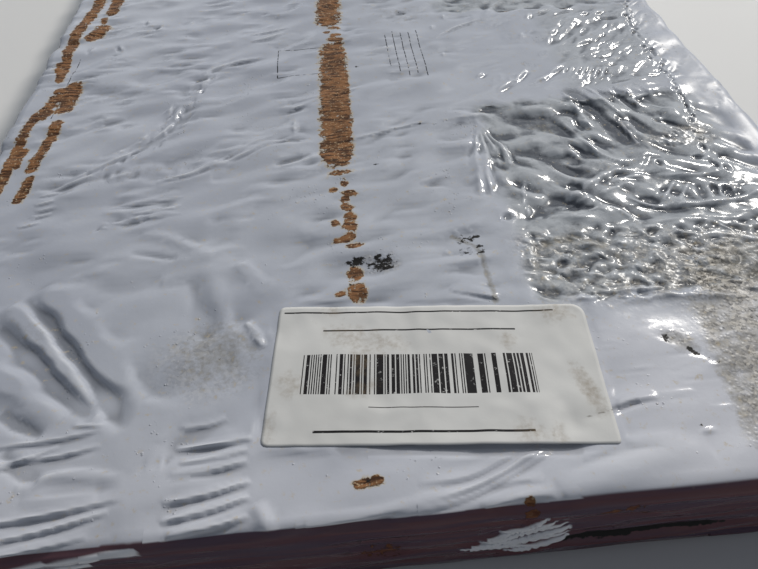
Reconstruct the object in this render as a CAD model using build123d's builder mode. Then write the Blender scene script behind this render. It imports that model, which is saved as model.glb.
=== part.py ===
from build123d import *
from math import cos, radians, sin, sqrt
import os

# A bundle of laminated asphalt shingles in a film wrap, lying flat.
# Millimetres. X runs across the shingles, Y along them and Z up.
# The origin is the middle of the underside, on the floor.
# The end with the sticker is at -Y.

# Shingles
shingle_length = 1000.0
shingle_width = 337.0
shingle_count = 10
ply = 2.6
shim_channel = 7.0
shingle_gap = 0.15
end_stagger = 0.6

# Tooth cut-outs in a front sheet, along the shingle, starting at the -Y end
tab_widths = [62.0, 92.0, 118.0, 84.0, 141.0]
slot_widths = [128.0, 70.0, 92.0, 58.0, 84.0]
slot_depth = 127.0
slot_flare = 4.0
last_tab_least = 40.0

# Film wrap
film = 0.25
fold_radius = 2.8
top_clear = 0.3
bottom_clear = 0.1
corner_clear = 0.1
pocket_depth = 1.6
pocket_slope = 40.0
pocket_rim_clear = 0.4
pocket_corner = 6.0
lap_width = 55.0
lap_edge_x = 20.0
lap_step = 0.2
lap_relax = 4.0
flap_edge_height = 10.0
flap_overlap = 15.0
gusset_depth = 20.0

# Sticker on the film
label_length = 101.6
label_width = 50.8
label_thick = 0.2
label_corner = 2.0
label_x = 6.3
label_from_end = 44.7
label_turn = -5.5

# Heights through the pile: a nested pair of shingles takes three plies
pair_pitch = 3 * ply + 2 * shingle_gap
pile_bottom = 2 * film + bottom_clear
odd_one_height = 2 * ply + shingle_gap if shingle_count % 2 else 0.0
pile_height = (shingle_count // 2) * pair_pitch + odd_one_height - shingle_gap
pile_top = pile_bottom + pile_height
wrap_height = pile_top + top_clear + film

# The square corner of the top shingle has to clear the rounded inside corner of the film
inner_radius = fold_radius - film
corner_reach = sqrt((inner_radius**2 - (inner_radius - top_clear) ** 2) / 2)
side_clear = inner_radius - corner_reach + corner_clear
wrap_width = shingle_width + 2 * (side_clear + film)
wrap_length = shingle_length + 2 * (end_stagger + side_clear + film)


def tooth_side(k):
    """The side, as a sign of X, on which shingle k has its teeth: each is turned end for end."""
    return 1 if k % 2 else -1


def shingle_shift(k):
    """How far shingle k lies out of line along Y."""
    return end_stagger * (k % 3 - 1)


def sheet_bottom(k):
    """Height of the underside of the front sheet of shingle k, on its toothed half."""
    nested = ply + shingle_gap if k % 2 else 0.0
    return pile_bottom + (k // 2) * pair_pitch + nested + ply


def cut_out_spans(k):
    """Both ends of each cut-out of shingle k, along Y. Each shingle starts at another tooth."""
    spans = []
    tooth = shingle_count - 1 - k
    start = shingle_shift(k) - shingle_length / 2
    far_end = shingle_shift(k) + shingle_length / 2
    while True:
        start += tab_widths[tooth % len(tab_widths)]
        end = start + slot_widths[tooth % len(slot_widths)]
        if end > far_end - last_tab_least:
            return spans
        spans.append((start, end))
        start = end
        tooth += 1


def section_points(k):
    """Outline of shingle k across its width, from the butt edge to the head edge and back.

    The shim runs from the butt edge to the channel, which it shares with the shims turned the other way.
    """
    side = tooth_side(k)
    butt = side * shingle_width / 2
    shim_edge = side * shim_channel / 2
    low = sheet_bottom(k) - ply
    sheet = sheet_bottom(k)
    top = sheet + ply
    if k % 2:
        # a turned shingle lies flat, because the one below has its shim on the other side
        return [
            (butt, low),
            (shim_edge, low),
            (shim_edge, sheet),
            (-butt, sheet),
            (-butt, top),
            (butt, top),
        ]
    # the others bend down by one ply in the channel between the two rows of shims
    return [
        (butt, low),
        (shim_edge, low),
        (shim_edge, sheet),
        (-shim_edge, low),
        (-butt, low),
        (-butt, sheet),
        (-shim_edge, sheet),
        (shim_edge, top),
        (butt, top),
    ]


def make_shingle(k):
    """One laminated shingle: a front sheet with open cut-outs over its shim strip."""
    side = tooth_side(k)
    butt = side * shingle_width / 2
    slot_end = side * (shingle_width / 2 - slot_depth)
    with BuildPart() as shingle:
        with BuildSketch(Plane.XZ.offset(-shingle_length / 2 - shingle_shift(k))):
            with BuildLine():
                Polyline(*section_points(k), close=True)
            make_face()
        extrude(amount=shingle_length)
        with BuildSketch(Plane.XY.offset(sheet_bottom(k))):
            for start, end in cut_out_spans(k):
                with BuildLine():
                    Polyline(
                        (butt, start),
                        (butt, end),
                        (slot_end, end - slot_flare),
                        (slot_end, start + slot_flare),
                        close=True,
                    )
                make_face()
        extrude(amount=ply, mode=Mode.SUBTRACT)
    return shingle.part


def make_film_body(inset):
    """Everything inside the film's outer face, or inside its inner face when inset is the film."""
    top_shingle = shingle_count - 1
    side = tooth_side(top_shingle)
    rim_clear = pocket_rim_clear + film - inset
    slot_end = shingle_width / 2 - slot_depth + rim_clear
    rim_end = wrap_width / 2 - fold_radius + inset
    with BuildPart() as body:
        with Locations((0, 0, inset)):
            Box(
                wrap_width - 2 * inset,
                wrap_length - 2 * inset,
                wrap_height - 2 * inset,
                align=(Align.CENTER, Align.CENTER, Align.MIN),
            )
        fillet(body.edges(), radius=fold_radius - inset)
        # the film sags into the cut-outs of the top shingle
        with BuildSketch(Plane.XY.offset(wrap_height - inset)):
            for start, end in cut_out_spans(top_shingle):
                length = end - start - 2 * slot_flare - 2 * rim_clear
                with Locations((side * (slot_end + rim_end) / 2, (start + end) / 2)):
                    RectangleRounded(rim_end - slot_end, length, pocket_corner + inset)
        extrude(amount=-pocket_depth, taper=pocket_slope, mode=Mode.SUBTRACT)
    return body.part


def flap(fold_height, edge_height):
    """A flap that narrows by as much as it is long, from its fold to its free edge."""
    half = wrap_width / 2 - fold_radius
    narrow = half - abs(edge_height - fold_height)
    return [(-half, fold_height), (half, fold_height), (narrow, edge_height), (-narrow, edge_height)]


def gusset(side):
    """The triangle that folds in from one side under the flaps."""
    half = side * (wrap_width / 2 - fold_radius)
    tip = half - side * gusset_depth
    return [(half, fold_radius), (half, wrap_height - fold_radius), (tip, wrap_height / 2)]


# the layers folded over each end, from the innermost out, each with its outlines
bottom_flap = flap(fold_radius, flap_edge_height + flap_overlap)
top_flap = flap(wrap_height - fold_radius, flap_edge_height)
end_layers = [[gusset(-1), gusset(1)], [bottom_flap], [top_flap]]

film_outside = make_film_body(0)
film_inside = make_film_body(film)

with BuildPart() as wrap:
    add(film_outside)
    add(film_inside, mode=Mode.SUBTRACT)
    # the film's two long edges lap along the underside, so there it is double
    with Locations((lap_edge_x + (lap_relax - lap_width) / 2, 0, film)):
        Box(
            lap_width + lap_relax,
            wrap_length - 2 * fold_radius,
            film,
            align=(Align.CENTER, Align.CENTER, Align.MIN),
        )
    # beside the cut edge of the outer layer the inner one comes down to the floor
    with BuildSketch(Plane.XZ.offset(-wrap_length / 2)):
        with BuildLine():
            Polyline((lap_edge_x, 0), (lap_edge_x, lap_step), (lap_edge_x + lap_relax, 0), close=True)
        make_face()
    extrude(amount=wrap_length, mode=Mode.SUBTRACT)
    # both ends are folded like a parcel
    for end in (-1, 1):
        for layer, outlines in enumerate(end_layers, start=1):
            with BuildSketch(Plane.XZ.offset(-end * wrap_length / 2)):
                for outline in outlines:
                    with BuildLine():
                        Polyline(*outline, close=True)
                    make_face()
            extrude(amount=-end * layer * film)
wrap.part.label = "wrap"

pile = [make_shingle(k) for k in range(shingle_count)]

with BuildPart() as shingles:
    add(pile)
shingles.part.label = "shingles"

label_plane = Plane(
    origin=(label_x, label_from_end - wrap_length / 2, wrap_height),
    x_dir=(cos(radians(label_turn)), sin(radians(label_turn)), 0),
    z_dir=(0, 0, 1),
)

with BuildPart() as label:
    with BuildSketch(label_plane):
        RectangleRounded(label_length, label_width, label_corner)
    extrude(amount=label_thick)
label.part.label = "label"

os.makedirs("parts", exist_ok=True)
export_step(wrap.part, "parts/wrap.step")
export_step(shingles.part, "parts/shingles.step")
export_step(label.part, "parts/label.step")
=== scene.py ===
import math

import bpy
import numpy as np
from mathutils import Matrix, Vector


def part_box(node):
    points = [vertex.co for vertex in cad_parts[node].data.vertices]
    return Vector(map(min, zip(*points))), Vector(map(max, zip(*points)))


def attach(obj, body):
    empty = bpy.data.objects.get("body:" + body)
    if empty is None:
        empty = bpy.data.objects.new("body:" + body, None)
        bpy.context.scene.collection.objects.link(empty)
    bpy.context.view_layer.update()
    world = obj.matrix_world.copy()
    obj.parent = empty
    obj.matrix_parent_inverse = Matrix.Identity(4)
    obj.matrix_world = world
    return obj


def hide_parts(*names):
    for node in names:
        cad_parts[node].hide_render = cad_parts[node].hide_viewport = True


# The film wrap, its paper label and the light around a bundle of shingles.
# Lengths are millimetres. A place on the top is (x, y), with x across the bundle from its middle line
# and y along it from the end with the label. A place on the label is measured from its middle.

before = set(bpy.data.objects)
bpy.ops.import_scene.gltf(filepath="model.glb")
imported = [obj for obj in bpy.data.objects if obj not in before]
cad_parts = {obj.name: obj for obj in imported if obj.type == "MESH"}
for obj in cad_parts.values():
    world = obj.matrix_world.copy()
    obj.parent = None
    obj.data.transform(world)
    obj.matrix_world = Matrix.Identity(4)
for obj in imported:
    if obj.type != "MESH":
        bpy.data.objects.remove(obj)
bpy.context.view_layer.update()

MM = 0.001
wrap_low, wrap_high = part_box("wrap")
WIDTH = (wrap_high.x - wrap_low.x) / MM
LENGTH = (wrap_high.y - wrap_low.y) / MM
HEIGHT = wrap_high.z / MM

# Film: how many cells lie along each side of the bundle, and its heights over a plain box
CELLS_ACROSS = 576
CELLS_ALONG = 1696
CELLS_UP = 64
LARGEST_CELL = 16
FOLD_RADIUS = 3.4
SLACK = 0.5
LOWEST_DIP = -0.35
LOWEST_DIP_IN_CUT_OUT = -2.0
# the highest fold stays within 3% of the bundle's height over its box
HIGHEST_FOLD = 1.4
# how gently the relief comes to rest on its lowest dip and under its highest fold
DIP_SOFTNESS = 0.12
CREST_SOFTNESS = 0.16
# how far each face's relief carries on round its edges
TOP_CARRY = 4.0
BOTTOM_CARRY = 1.5
SIDE_CARRY = 3.0
# where the cells' corners lie along each side
ACROSS = np.linspace(-WIDTH / 2, WIDTH / 2, CELLS_ACROSS + 1)
ALONG = np.linspace(0, LENGTH, CELLS_ALONG + 1)
UP = np.linspace(0, HEIGHT, CELLS_UP + 1)
MASKS = ("rust", "dirt", "smear_and_shadow", "grit", "end", "cling_and_shade", "drawn", "crest_highlight")

# The top shingle's cut-outs, which the film sags into
SHINGLE_WIDTH = 337.0
# how far from the film's end the shingle starts
SHINGLE_END = 3.3
CUT_OUT_DEPTH = 127.0
TAB_WIDTHS = [62.0, 92.0, 118.0, 84.0, 141.0]
CUT_OUT_WIDTHS = [128.0, 70.0, 92.0, 58.0, 84.0]
# height that each nested pair of shingles adds to the pile
PAIR_PITCH = 8.1

# Label
LABEL_CENTRE = (6.3, 44.7)
LABEL_SIZE = (101.6, 50.8)
LABEL_CELLS = (102, 52)
LABEL_TURN = -5.5
LABEL_THICK = 0.13
LABEL_GAP = 0.04
LABEL_CORNERS = {(-1, -1): 2.0, (1, -1): 1.2, (1, 1): 4.5, (-1, 1): 2.0}

# Ink on the film, as the frame's sides and as lines along the bundle: x, start and end
PRINT_FRAME = (-46.0, -11.0, 228.5, 256.5)
PRINT_LINES = [(12.5, 231, 265), (16.8, 226, 268), (21.2, 222, 267), (25.6, 224, 268), (30.2, 220, 270)]
PRINT_LINES += [(-152.5, 204, 262)]

# How far from the near end the photograph shows the top
PHOTO_END = 325

# World: the light that it gives, and how much brighter it looks than that
WORLD_LIGHT = 0.18
WORLD_EXTRA = 0.40

# Camera: the photograph's width and focal length in pixels, then its place and its aim
PHOTO_WIDTH = 758
PHOTO_FOCAL = 600.0
CAMERA_X = -16.5
CAMERA_Y = -57.4
CAMERA_OVER_TOP = 156.8
CAMERA_PITCH = 48.27
CAMERA_ROLL = 2.13
CAMERA_YAW = 3.68

# Spacing of the points along a smooth path
PATH_STEP = 1.2


def smooth(value, low, high):
    """0 below low, 1 above high, with a smooth step between them. low may be the larger one."""
    t = np.clip((value - low) / (high - low), 0.0, 1.0)
    return t * t * (3.0 - 2.0 * t)


def soft_box(relief, left, right, near, far):
    """1 inside a rectangle. Each edge is a smooth step from its first value to its second."""
    across = smooth(relief.x, *left) * smooth(relief.x, *right)
    return across * smooth(relief.y, *near) * smooth(relief.y, *far)


def smooth_path(points):
    """Points along a smooth curve through a few chosen ones, about one step apart."""
    points = [np.array(p, float) for p in points]
    before = [2 * points[0] - points[1]]
    after = [2 * points[-1] - points[-2]]
    ends = before + points + after
    path = []
    for a, b, c, d in zip(ends, ends[1:], ends[2:], ends[3:]):
        count = max(1, int(np.linalg.norm(c - b) / PATH_STEP))
        for i in range(count):
            t = i / count
            bend = (2 * a - 5 * b + 4 * c - d) * t**2 + (3 * b - a - 3 * c + d) * t**3
            path.append(0.5 * (2 * b + (c - a) * t + bend))
    path.append(points[-1])
    return np.array(path)


class Relief:
    """Heights of a thin skin over one flat face, and what soils it, on a regular grid."""

    def __init__(self, x, y):
        self.xs = x
        self.ys = y
        self.x, self.y = np.meshgrid(x, y, indexing="ij")
        self.h = np.zeros(self.x.shape)
        self.masks = {name: np.zeros(self.x.shape) for name in MASKS}

    def window(self, low_x, high_x, low_y, high_y):
        """The part of the grid inside a rectangle."""
        a, b = np.searchsorted(self.xs, (low_x, high_x))
        c, d = np.searchsorted(self.ys, (low_y, high_y))
        return slice(a, b), slice(c, d)

    def sample(self, values, x, y):
        """Values between the grid's points."""
        fx = np.clip((x - self.xs[0]) / (self.xs[1] - self.xs[0]), 0, len(self.xs) - 1.001)
        fy = np.clip((y - self.ys[0]) / (self.ys[1] - self.ys[0]), 0, len(self.ys) - 1.001)
        i, j = fx.astype(int), fy.astype(int)
        fx, fy = fx - i, fy - j
        low = values[i, j] * (1 - fx) + values[i + 1, j] * fx
        high = values[i, j + 1] * (1 - fx) + values[i + 1, j + 1] * fx
        return low * (1 - fy) + high * fy

    def frequencies(self):
        """The waves per millimetre that a transform of the grid holds, across and along."""
        across = np.fft.fftfreq(self.h.shape[0], self.xs[1] - self.xs[0])
        along = np.fft.rfftfreq(self.h.shape[1], self.ys[1] - self.ys[0])
        return across[:, None], along[None, :]

    def hollows(self, reach, depth):
        """How deep each place lies under its surroundings, from 0 to 1 at the given depth.

        With a depth below 0 it is how far the place stands out."""
        fx, fy = self.frequencies()
        blur = np.exp(-2 * (math.pi * reach) ** 2 * (fx**2 + fy**2))
        around = np.fft.irfft2(np.fft.rfft2(self.h) * blur, s=self.h.shape)
        return np.clip((around - self.h) / depth, 0, 1)

    def noise(self, wavelength, seed, stretch=1.0, turn=0.0):
        """Seeded soft noise of about one wavelength and a spread of 1, drawn out along a direction."""
        random = np.random.default_rng(seed)
        spectrum = np.fft.rfft2(random.standard_normal(self.h.shape))
        fx, fy = self.frequencies()
        c, s = math.cos(math.radians(turn)), math.sin(math.radians(turn))
        along = (fx * c + fy * s) * stretch
        across = fy * c - fx * s
        k2 = (along**2 + across**2) * wavelength**2
        field = np.fft.irfft2(spectrum * k2 * np.exp(-k2), s=self.h.shape)
        return field / field.std()

    def near_path(self, points, reach):
        """Distance to a path, positive on its left, and the place along it from 0 to 1."""
        path = smooth_path(points)
        low = path.min(0) - reach
        high = path.max(0) + reach
        part = self.window(low[0], high[0], low[1], high[1])
        x, y = self.x[part], self.y[part]
        nearest = np.full(x.shape, 1e9)
        side = np.zeros(x.shape)
        along = np.zeros(x.shape)
        steps = np.linalg.norm(np.diff(path, axis=0), axis=1)
        total = steps.sum()
        done = 0.0
        for start, end, step in zip(path, path[1:], steps):
            direction = (end - start) / step
            dx, dy = x - start[0], y - start[1]
            t = np.clip(dx * direction[0] + dy * direction[1], 0, step)
            gap = np.hypot(dx - t * direction[0], dy - t * direction[1])
            closer = gap < nearest
            nearest = np.where(closer, gap, nearest)
            side = np.where(closer, np.sign(direction[0] * dy - direction[1] * dx), side)
            along = np.where(closer, (done + t) / total, along)
            done += step
        return part, nearest * side, along

    def crease(self, points, width, height, ends=0.5):
        """A ridge, or a furrow if height is negative, along a path."""
        part, gap, along = self.near_path(points, 3 * width)
        taper = np.sin(np.pi * np.clip(along, 0, 1)) ** ends
        self.h[part] += height * taper * np.exp(-((gap / width) ** 2))

    def fold(self, points, height, front=0.8, back=2.6, ends=0.7):
        """A pinched fold, with a steep face on the right of the path and a long slope on its left."""
        part, gap, along = self.near_path(points, 2.5 * back)
        taper = np.sin(np.pi * np.clip(along, 0, 1)) ** ends
        slope = np.where(gap > 0, np.exp(-((gap / back) ** 2)), smooth(gap, -front, 0.1 * front))
        hollow = 0.3 * np.exp(-(((gap + 1.9 * front) / front) ** 2))
        self.h[part] += height * taper * (slope - hollow)

    def oval(self, x, y, length, width, turn):
        """The grid's part around an oval, and the squared distance there, which is 1 on the oval."""
        far = 1.7 * max(length, width) / 2 + 1
        part = self.window(x - far, x + far, y - far, y + far)
        c, s = math.cos(math.radians(turn)), math.sin(math.radians(turn))
        dx, dy = self.x[part] - x, self.y[part] - y
        a = (dx * c + dy * s) / (length / 2)
        b = (dy * c - dx * s) / (width / 2)
        return part, a * a + b * b

    def dent(self, x, y, length, width, turn, depth, flat=1.0):
        """An oval hollow, or a bump if depth is negative. flat above 1 gives it a flat floor."""
        part, r2 = self.oval(x, y, length, width, turn)
        self.h[part] -= depth * np.exp(-1.4 * r2**flat)

    def loop(self, x, y, length, width, turn, height):
        """A thin ridge along an oval."""
        part, r2 = self.oval(x, y, length, width, turn)
        self.h[part] += height * np.exp(-(((np.sqrt(r2) - 1) * width / 1.4) ** 2))

    def bubble(self, x, y, length, width, turn, depth):
        """A hollow with a steep wall and a raised lip, where the film is drawn down."""
        self.dent(x, y, length * 1.5, width * 1.5, turn, -0.6 * depth, flat=1.5)
        self.dent(x, y, length, width, turn, 1.3 * depth, flat=2.0)

    def scatter(self, corners, count, seed, length, width, turn, height):
        """Many dents and bumps inside a four-sided zone.

        Their lengths, widths and heights are drawn from ranges, and their turns from a mean and a spread."""
        random = np.random.default_rng(seed)
        a, b, c, d = [np.array(p, float) for p in corners]
        for _ in range(count):
            u, v = random.random(2)
            x, y = a * (1 - u) * (1 - v) + b * u * (1 - v) + c * u * v + d * (1 - u) * v
            size = (random.uniform(*length), random.uniform(*width))
            self.dent(x, y, *size, random.normal(*turn), -random.uniform(*height))

    def blot(self, mask, x, y, length, width, turn=0.0, amount=1.0):
        """Soils an oval. The mask is half of the amount on its edge."""
        part, r2 = self.oval(x, y, length, width, turn)
        layer = self.masks[mask]
        layer[part] = np.maximum(layer[part], amount * np.clip(1 - 0.5 * r2, 0, 1))

    def streak(self, mask, points, width, amount=1.0):
        """Soils a strip along a path."""
        part, gap, along = self.near_path(points, width)
        layer = self.masks[mask]
        layer[part] = np.maximum(layer[part], amount * np.clip(1 - 0.5 * (2 * gap / width) ** 2, 0, 1))

    def fill(self, mask, corners, edge, amount=1.0):
        """Soils a zone whose corners go round anticlockwise, fading over an edge."""
        inside = np.full(self.h.shape, amount)
        for (ax, ay), (bx, by) in zip(corners, corners[1:] + corners[:1]):
            gap = (bx - ax) * (self.y - ay) - (by - ay) * (self.x - ax)
            inside *= smooth(gap / math.hypot(bx - ax, by - ay), -edge / 2, edge / 2)
        self.masks[mask] = np.maximum(self.masks[mask], inside)


def cut_outs():
    """Both ends of each cut-out of the top shingle, along the bundle."""
    spans = []
    start = SHINGLE_END
    for tab, cut in zip(TAB_WIDTHS, CUT_OUT_WIDTHS):
        start += tab
        spans.append((start, start + cut))
        start += cut
    return spans


def add_cut_out_sag(top):
    """The film sinks into the top shingle's cut-outs, along the edge on the right."""
    open_edge = SHINGLE_WIDTH / 2
    allowed = np.zeros(top.h.shape)
    wander = 1.6 * top.noise(22, 11)
    for start, end in cut_outs():
        inside = (
            smooth(top.x + wander, open_edge - CUT_OUT_DEPTH - 2, open_edge - CUT_OUT_DEPTH + 15)
            * smooth(top.y + wander, start, start + 7)
            * smooth(top.y + wander, end, end - 7)
            * smooth(top.x, open_edge - 3, open_edge - 14)
        )
        allowed = np.maximum(allowed, inside)
    top.h -= 1.25 * allowed
    return allowed


def add_undulation(top):
    """The film's own slackness: broad soft swells everywhere."""
    calm = smooth(top.x, 25, 60)
    top.h += (0.44 - 0.22 * calm) * top.noise(24, 21, stretch=2.2, turn=18)
    creased = smooth(top.noise(45, 24), -0.9, 1.2) * (1 - 0.7 * smooth(top.y, 130, 90))
    top.h += (0.32 - 0.24 * calm) * creased * top.noise(9, 22, stretch=2.6, turn=14)


def add_drawn_waves(top, sag):
    """Beside the near cut-out the film hangs in long waves, and inside it is creased all over."""
    drawn_in = smooth(sag, 0.2, 0.8)
    for zone, height, wavelength, seed, stretch, turn in [
        (soft_box(top, (5, 30), (115, 80), (100, 112), (196, 180)), 0.42, 17, 25, 3.2, 4),
        (drawn_in * smooth(top.y, 300, 260) * smooth(top.y, 98, 112), 0.34, 13, 26, 3.0, -38),
        (drawn_in * smooth(top.y, 108, 98), 0.24, 6.5, 29, 1.6, -10),
        (soft_box(top, (90, 110), (165, 152), (196, 206), (300, 270)), 0.14, 7.5, 27, 3.0, 48),
        (soft_box(top, (-45, -30), (50, 30), (66, 76), (140, 120)), 0.36, 13, 28, 3.4, 6),
    ]:
        top.h += height * zone * top.noise(wavelength, seed, stretch, turn)


def add_far_left(top):
    """Furthest back on the left: long soft creases, short pinched folds and pits."""
    for crease in [
        ([(-112, 274), (-90, 272), (-64, 272)], 4.0, -0.62),
        ([(-102, 306), (-80, 303), (-58, 298), (-48, 292)], 6.0, -1),
        ([(-48, 296), (-38, 302), (-30, 314)], 2.4, 0.56),
        ([(-142, 236), (-124, 230), (-106, 222), (-92, 216)], 5.0, 0.62),
        ([(-146, 230), (-126, 223), (-110, 214)], 5.0, -0.44),
    ]:
        top.crease(*crease)
    for fold in [
        ([(-62, 275), (-52, 278.5), (-41, 282)], 0.8, 0.8, 1.4),
        ([(-61, 267.5), (-52, 271), (-43, 276.5)], 0.9, 0.9, 1.6),
        ([(-87, 233), (-79, 240), (-68, 246), (-53, 250)], 0.9, 0.9, 1.8),
        ([(-152, 235), (-144, 236.5), (-135, 235.5)], 0.88),
    ]:
        top.fold(*fold)
    tucks = [(-90, 216), (-80, 218), (-76, 240), (-86, 236)]
    top.scatter(tucks, 24, 19, (4, 8), (1.5, 2.6), (62, 16), (-0.8, 0.8))
    top.bubble(-86, 222, 9, 5, 70, 0.7)
    top.dent(-81.5, 228, 9, 3.0, 75, -1.0)
    for x, y, turn in [(-134, 270, 110), (-116, 292, 70), (-124, 300, 100), (-150, 270, 90), (-100, 298, 45)]:
        top.dent(x, y, 7, 2.6, turn, 0.6)
        top.dent(x + 2.2, y, 6, 2.4, turn, -0.45)
    for x, y in [(-135, 258), (-57, 286), (-102, 246), (-134, 263), (-66, 306), (-55, 302)]:
        top.dent(x, y, 5, 2.2, 20, 0.45)


def add_mid_left(top):
    """Further on along the left: pinched folds that run back to the right, and tucks along them."""
    for fold in [
        ([(-138, 149), (-130, 152.5), (-122, 157)], 1.1, 0.8, 1.3),
        ([(-134, 151.5), (-122, 161), (-111, 170), (-103, 178)], 0.9, 0.7, 1.4),
        ([(-106, 177), (-99, 184), (-94, 192), (-91, 206)], 0.8, 0.8, 1.6),
        ([(-92, 150), (-82, 152), (-75, 156), (-68, 159.5)], 1.1, 0.8, 1.5),
        ([(-68, 159), (-59, 164), (-49, 170), (-36, 175)], 0.9, 0.7, 1.4),
        ([(-84, 152), (-70, 161), (-58, 168)], 0.5, 0.7, 1.0),
        ([(-44, 195), (-32, 199.5), (-20, 206), (-6, 212)], 1.0, 0.7, 1.3),
        ([(-36, 203), (-24, 207), (-12, 212)], 0.5, 0.6, 1.0),
        ([(-22, 166), (-4, 171.5), (14, 176.5), (30, 179), (47, 180.5)], 0.75, 0.8, 1.8),
    ]:
        top.fold(*fold)
    for zone in [
        ([(-128, 152), (-100, 170), (-92, 190), (-122, 168)],
         46, 15, (3, 7), (1.2, 2.2), (62, 20), (-0.5, 0.55)),
        ([(-100, 186), (-88, 190), (-84, 212), (-96, 208)],
         22, 16, (4, 9), (1.4, 2.6), (66, 16), (-0.7, 0.7)),
        ([(-72, 160), (-52, 168), (-54, 174), (-74, 166)], 18, 17, (4, 9), (1.2, 2.2), (24, 10), (-0.4, 0.4)),
        ([(-114, 122), (-92, 126), (-92, 132), (-112, 130)],
         22, 18, (3, 6), (1.2, 2.0), (20, 20), (-0.35, 0.35)),
    ]:
        top.scatter(*zone)
    for crease in [
        ([(-130, 158), (-118, 168), (-106, 180), (-98, 194)], 2.0, 0.62),
        ([(-138, 154), (-124, 163), (-110, 172)], 3.0, 0.44),
        ([(-80, 160), (-74, 166), (-64, 168), (-54, 169)], 1.4, 0.62),
        ([(-38, 202), (-24, 208), (-8, 215)], 2.4, 0.5),
        ([(-98, 107), (-88, 105), (-80, 103)], 1.6, -0.75),
        ([(-96, 118), (-85, 114), (-75, 108), (-67, 102)], 2.6, 0.88),
        ([(-72, 149), (-56, 153), (-34, 160)], 4.5, -0.75),
    ]:
        top.crease(*crease)
    for dent in [
        (-92, 201, 8, 3, 70, -0.8), (-105, 182, 6, 3, 60, -0.7), (-37, 182, 8, 2.6, 85, -1.5),
    ]:
        top.dent(*dent)
    for y, left, rise, height in [(134.5, -111, 3.5, 0.6), (129.5, -102, 2.6, 0.7), (124.5, -111, 3.0, 0.5)]:
        top.fold([(left, y), (left + 13, y + rise * 0.5), (-82, y + rise)], height, front=0.6, back=1.2)
        top.fold([(left + 5, y + 1.6), (-90, y + rise + 1)], 0.3, front=0.6, back=0.8)
    for x, y, depth in [
        (-117, 155, 0.35), (-112.5, 157, 0.2), (-105, 155.5, 0.3), (-97, 157, 0.18), (-89, 156, 0.3),
    ]:
        top.dent(x, y, 9, 3.0, 98, depth)
        top.dent(x + 2.8, y + 0.6, 8, 3.0, 92, -0.8 * depth)
    for x, y in [(-138, 146), (-138, 140.5), (-137, 137), (-138, 133.5), (-141, 128)]:
        top.fold([(x - 4, y - 1), (x, y), (x + 4, y + 1.4)], 0.6, front=0.6, back=1.0)


def add_near_left(top):
    """Nearest on the left: deep slanting ridges, and rows of wrinkles by the end."""
    for crease in [
        ([(-131, 89), (-121, 79), (-111, 65.5), (-101, 53), (-92, 41), (-86, 33)], 2.6, -1.8),
        ([(-126, 94), (-114, 82), (-104, 69), (-94, 56), (-83, 42), (-74, 36)], 3.8, 2.2),
        ([(-140, 81), (-129, 70), (-117, 58), (-106, 46.5), (-96, 39)], 2.6, -1.6),
        ([(-135, 86), (-123, 74), (-111, 61), (-99, 47), (-93, 38)], 3.0, 1.9),
        ([(-141, 68), (-129, 57), (-117, 47), (-105, 39)], 3.4, 1.6),
        ([(-125, 43), (-118, 38.5), (-110, 34.5)], 2.0, -1.5),
        ([(-120, 29.5), (-114, 24.5), (-107, 19.5)], 2.0, -1.4),
        ([(-116, 98), (-106, 92), (-95, 90), (-84, 92)], 4.0, -0.84),
        ([(-57, 98), (-52, 90), (-46, 82)], 2.6, 1.4),
        ([(-68, 97), (-64, 84), (-59, 68), (-54, 56)], 3.4, 0.98),
        ([(-74, 92), (-70, 78), (-66, 64)], 2.8, -0.7), ([(-53, 70), (-50, 65), (-47, 59)], 1.3, 1.4),
        ([(-110, 15.5), (-100, 14.8), (-90, 15.5)], 3.4, 0.7),
        ([(-47, 8), (-45, 4), (-43, -1)], 2.2, 0.98),
    ]:
        top.crease(*crease)
    wrinkles = [
        (-134, 22.0, -104, 30.5, 0.9), (-124, 31.5, -92, 34.5, 0.8), (-122, 26.5, -92, 29.0, 1.0),
        (-102, 36.5, -92, 36.0, 0.6), (-122, 9.0, -82, 13.0, 1.3), (-122, 4.0, -86, 9.5, 1.2),
        (-124, 0.0, -90, 4.0, 1.0), (-71, 26.2, -49, 27.0, 1.4), (-69, 21.4, -50, 23.6, 1.1),
        (-71, 17.6, -50, 20.2, 1.2), (-72, 10.2, -49, 14.4, 1.5), (-72, 5.4, -49, 10.0, 1.6),
        (-70, 1.8, -49, 4.8, 1.3), (-70, 32.0, -57, 34.8, 0.7), (-82, 29.4, -75, 29.6, 0.6),
    ]
    for x0, y0, x1, y1, height in wrinkles:
        middle = ((x0 + x1) / 2 + 2, (y0 + y1) / 2 - 0.4)
        top.fold([(x0, y0), middle, (x1, y1)], 1.05 * height, front=0.7, back=1.2, ends=0.6)
        # a lesser one just behind it
        lesser = [(x0 + 3, y0 + 1.7), (middle[0], middle[1] + 1.5), (x1 - 2, y1 + 1.1)]
        top.fold(lesser, 0.25 * height, front=0.5)
    top.fold([(-113, 18.5), (-104, 21.5), (-95, 21.0), (-83, 18.4)], 1.3, front=3.5, back=1.2)
    top.fold([(-43, 0.8), (-30, 1.0), (-14, 0.6)], 0.98, front=1.2)
    top.dent(-79, 16, 42, 15, 92, -0.7, flat=1.6)
    for x in (-79, -75.5, -72.5):
        top.dent(x, 22, 4.5, 1.8, 70, 0.4)


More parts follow.
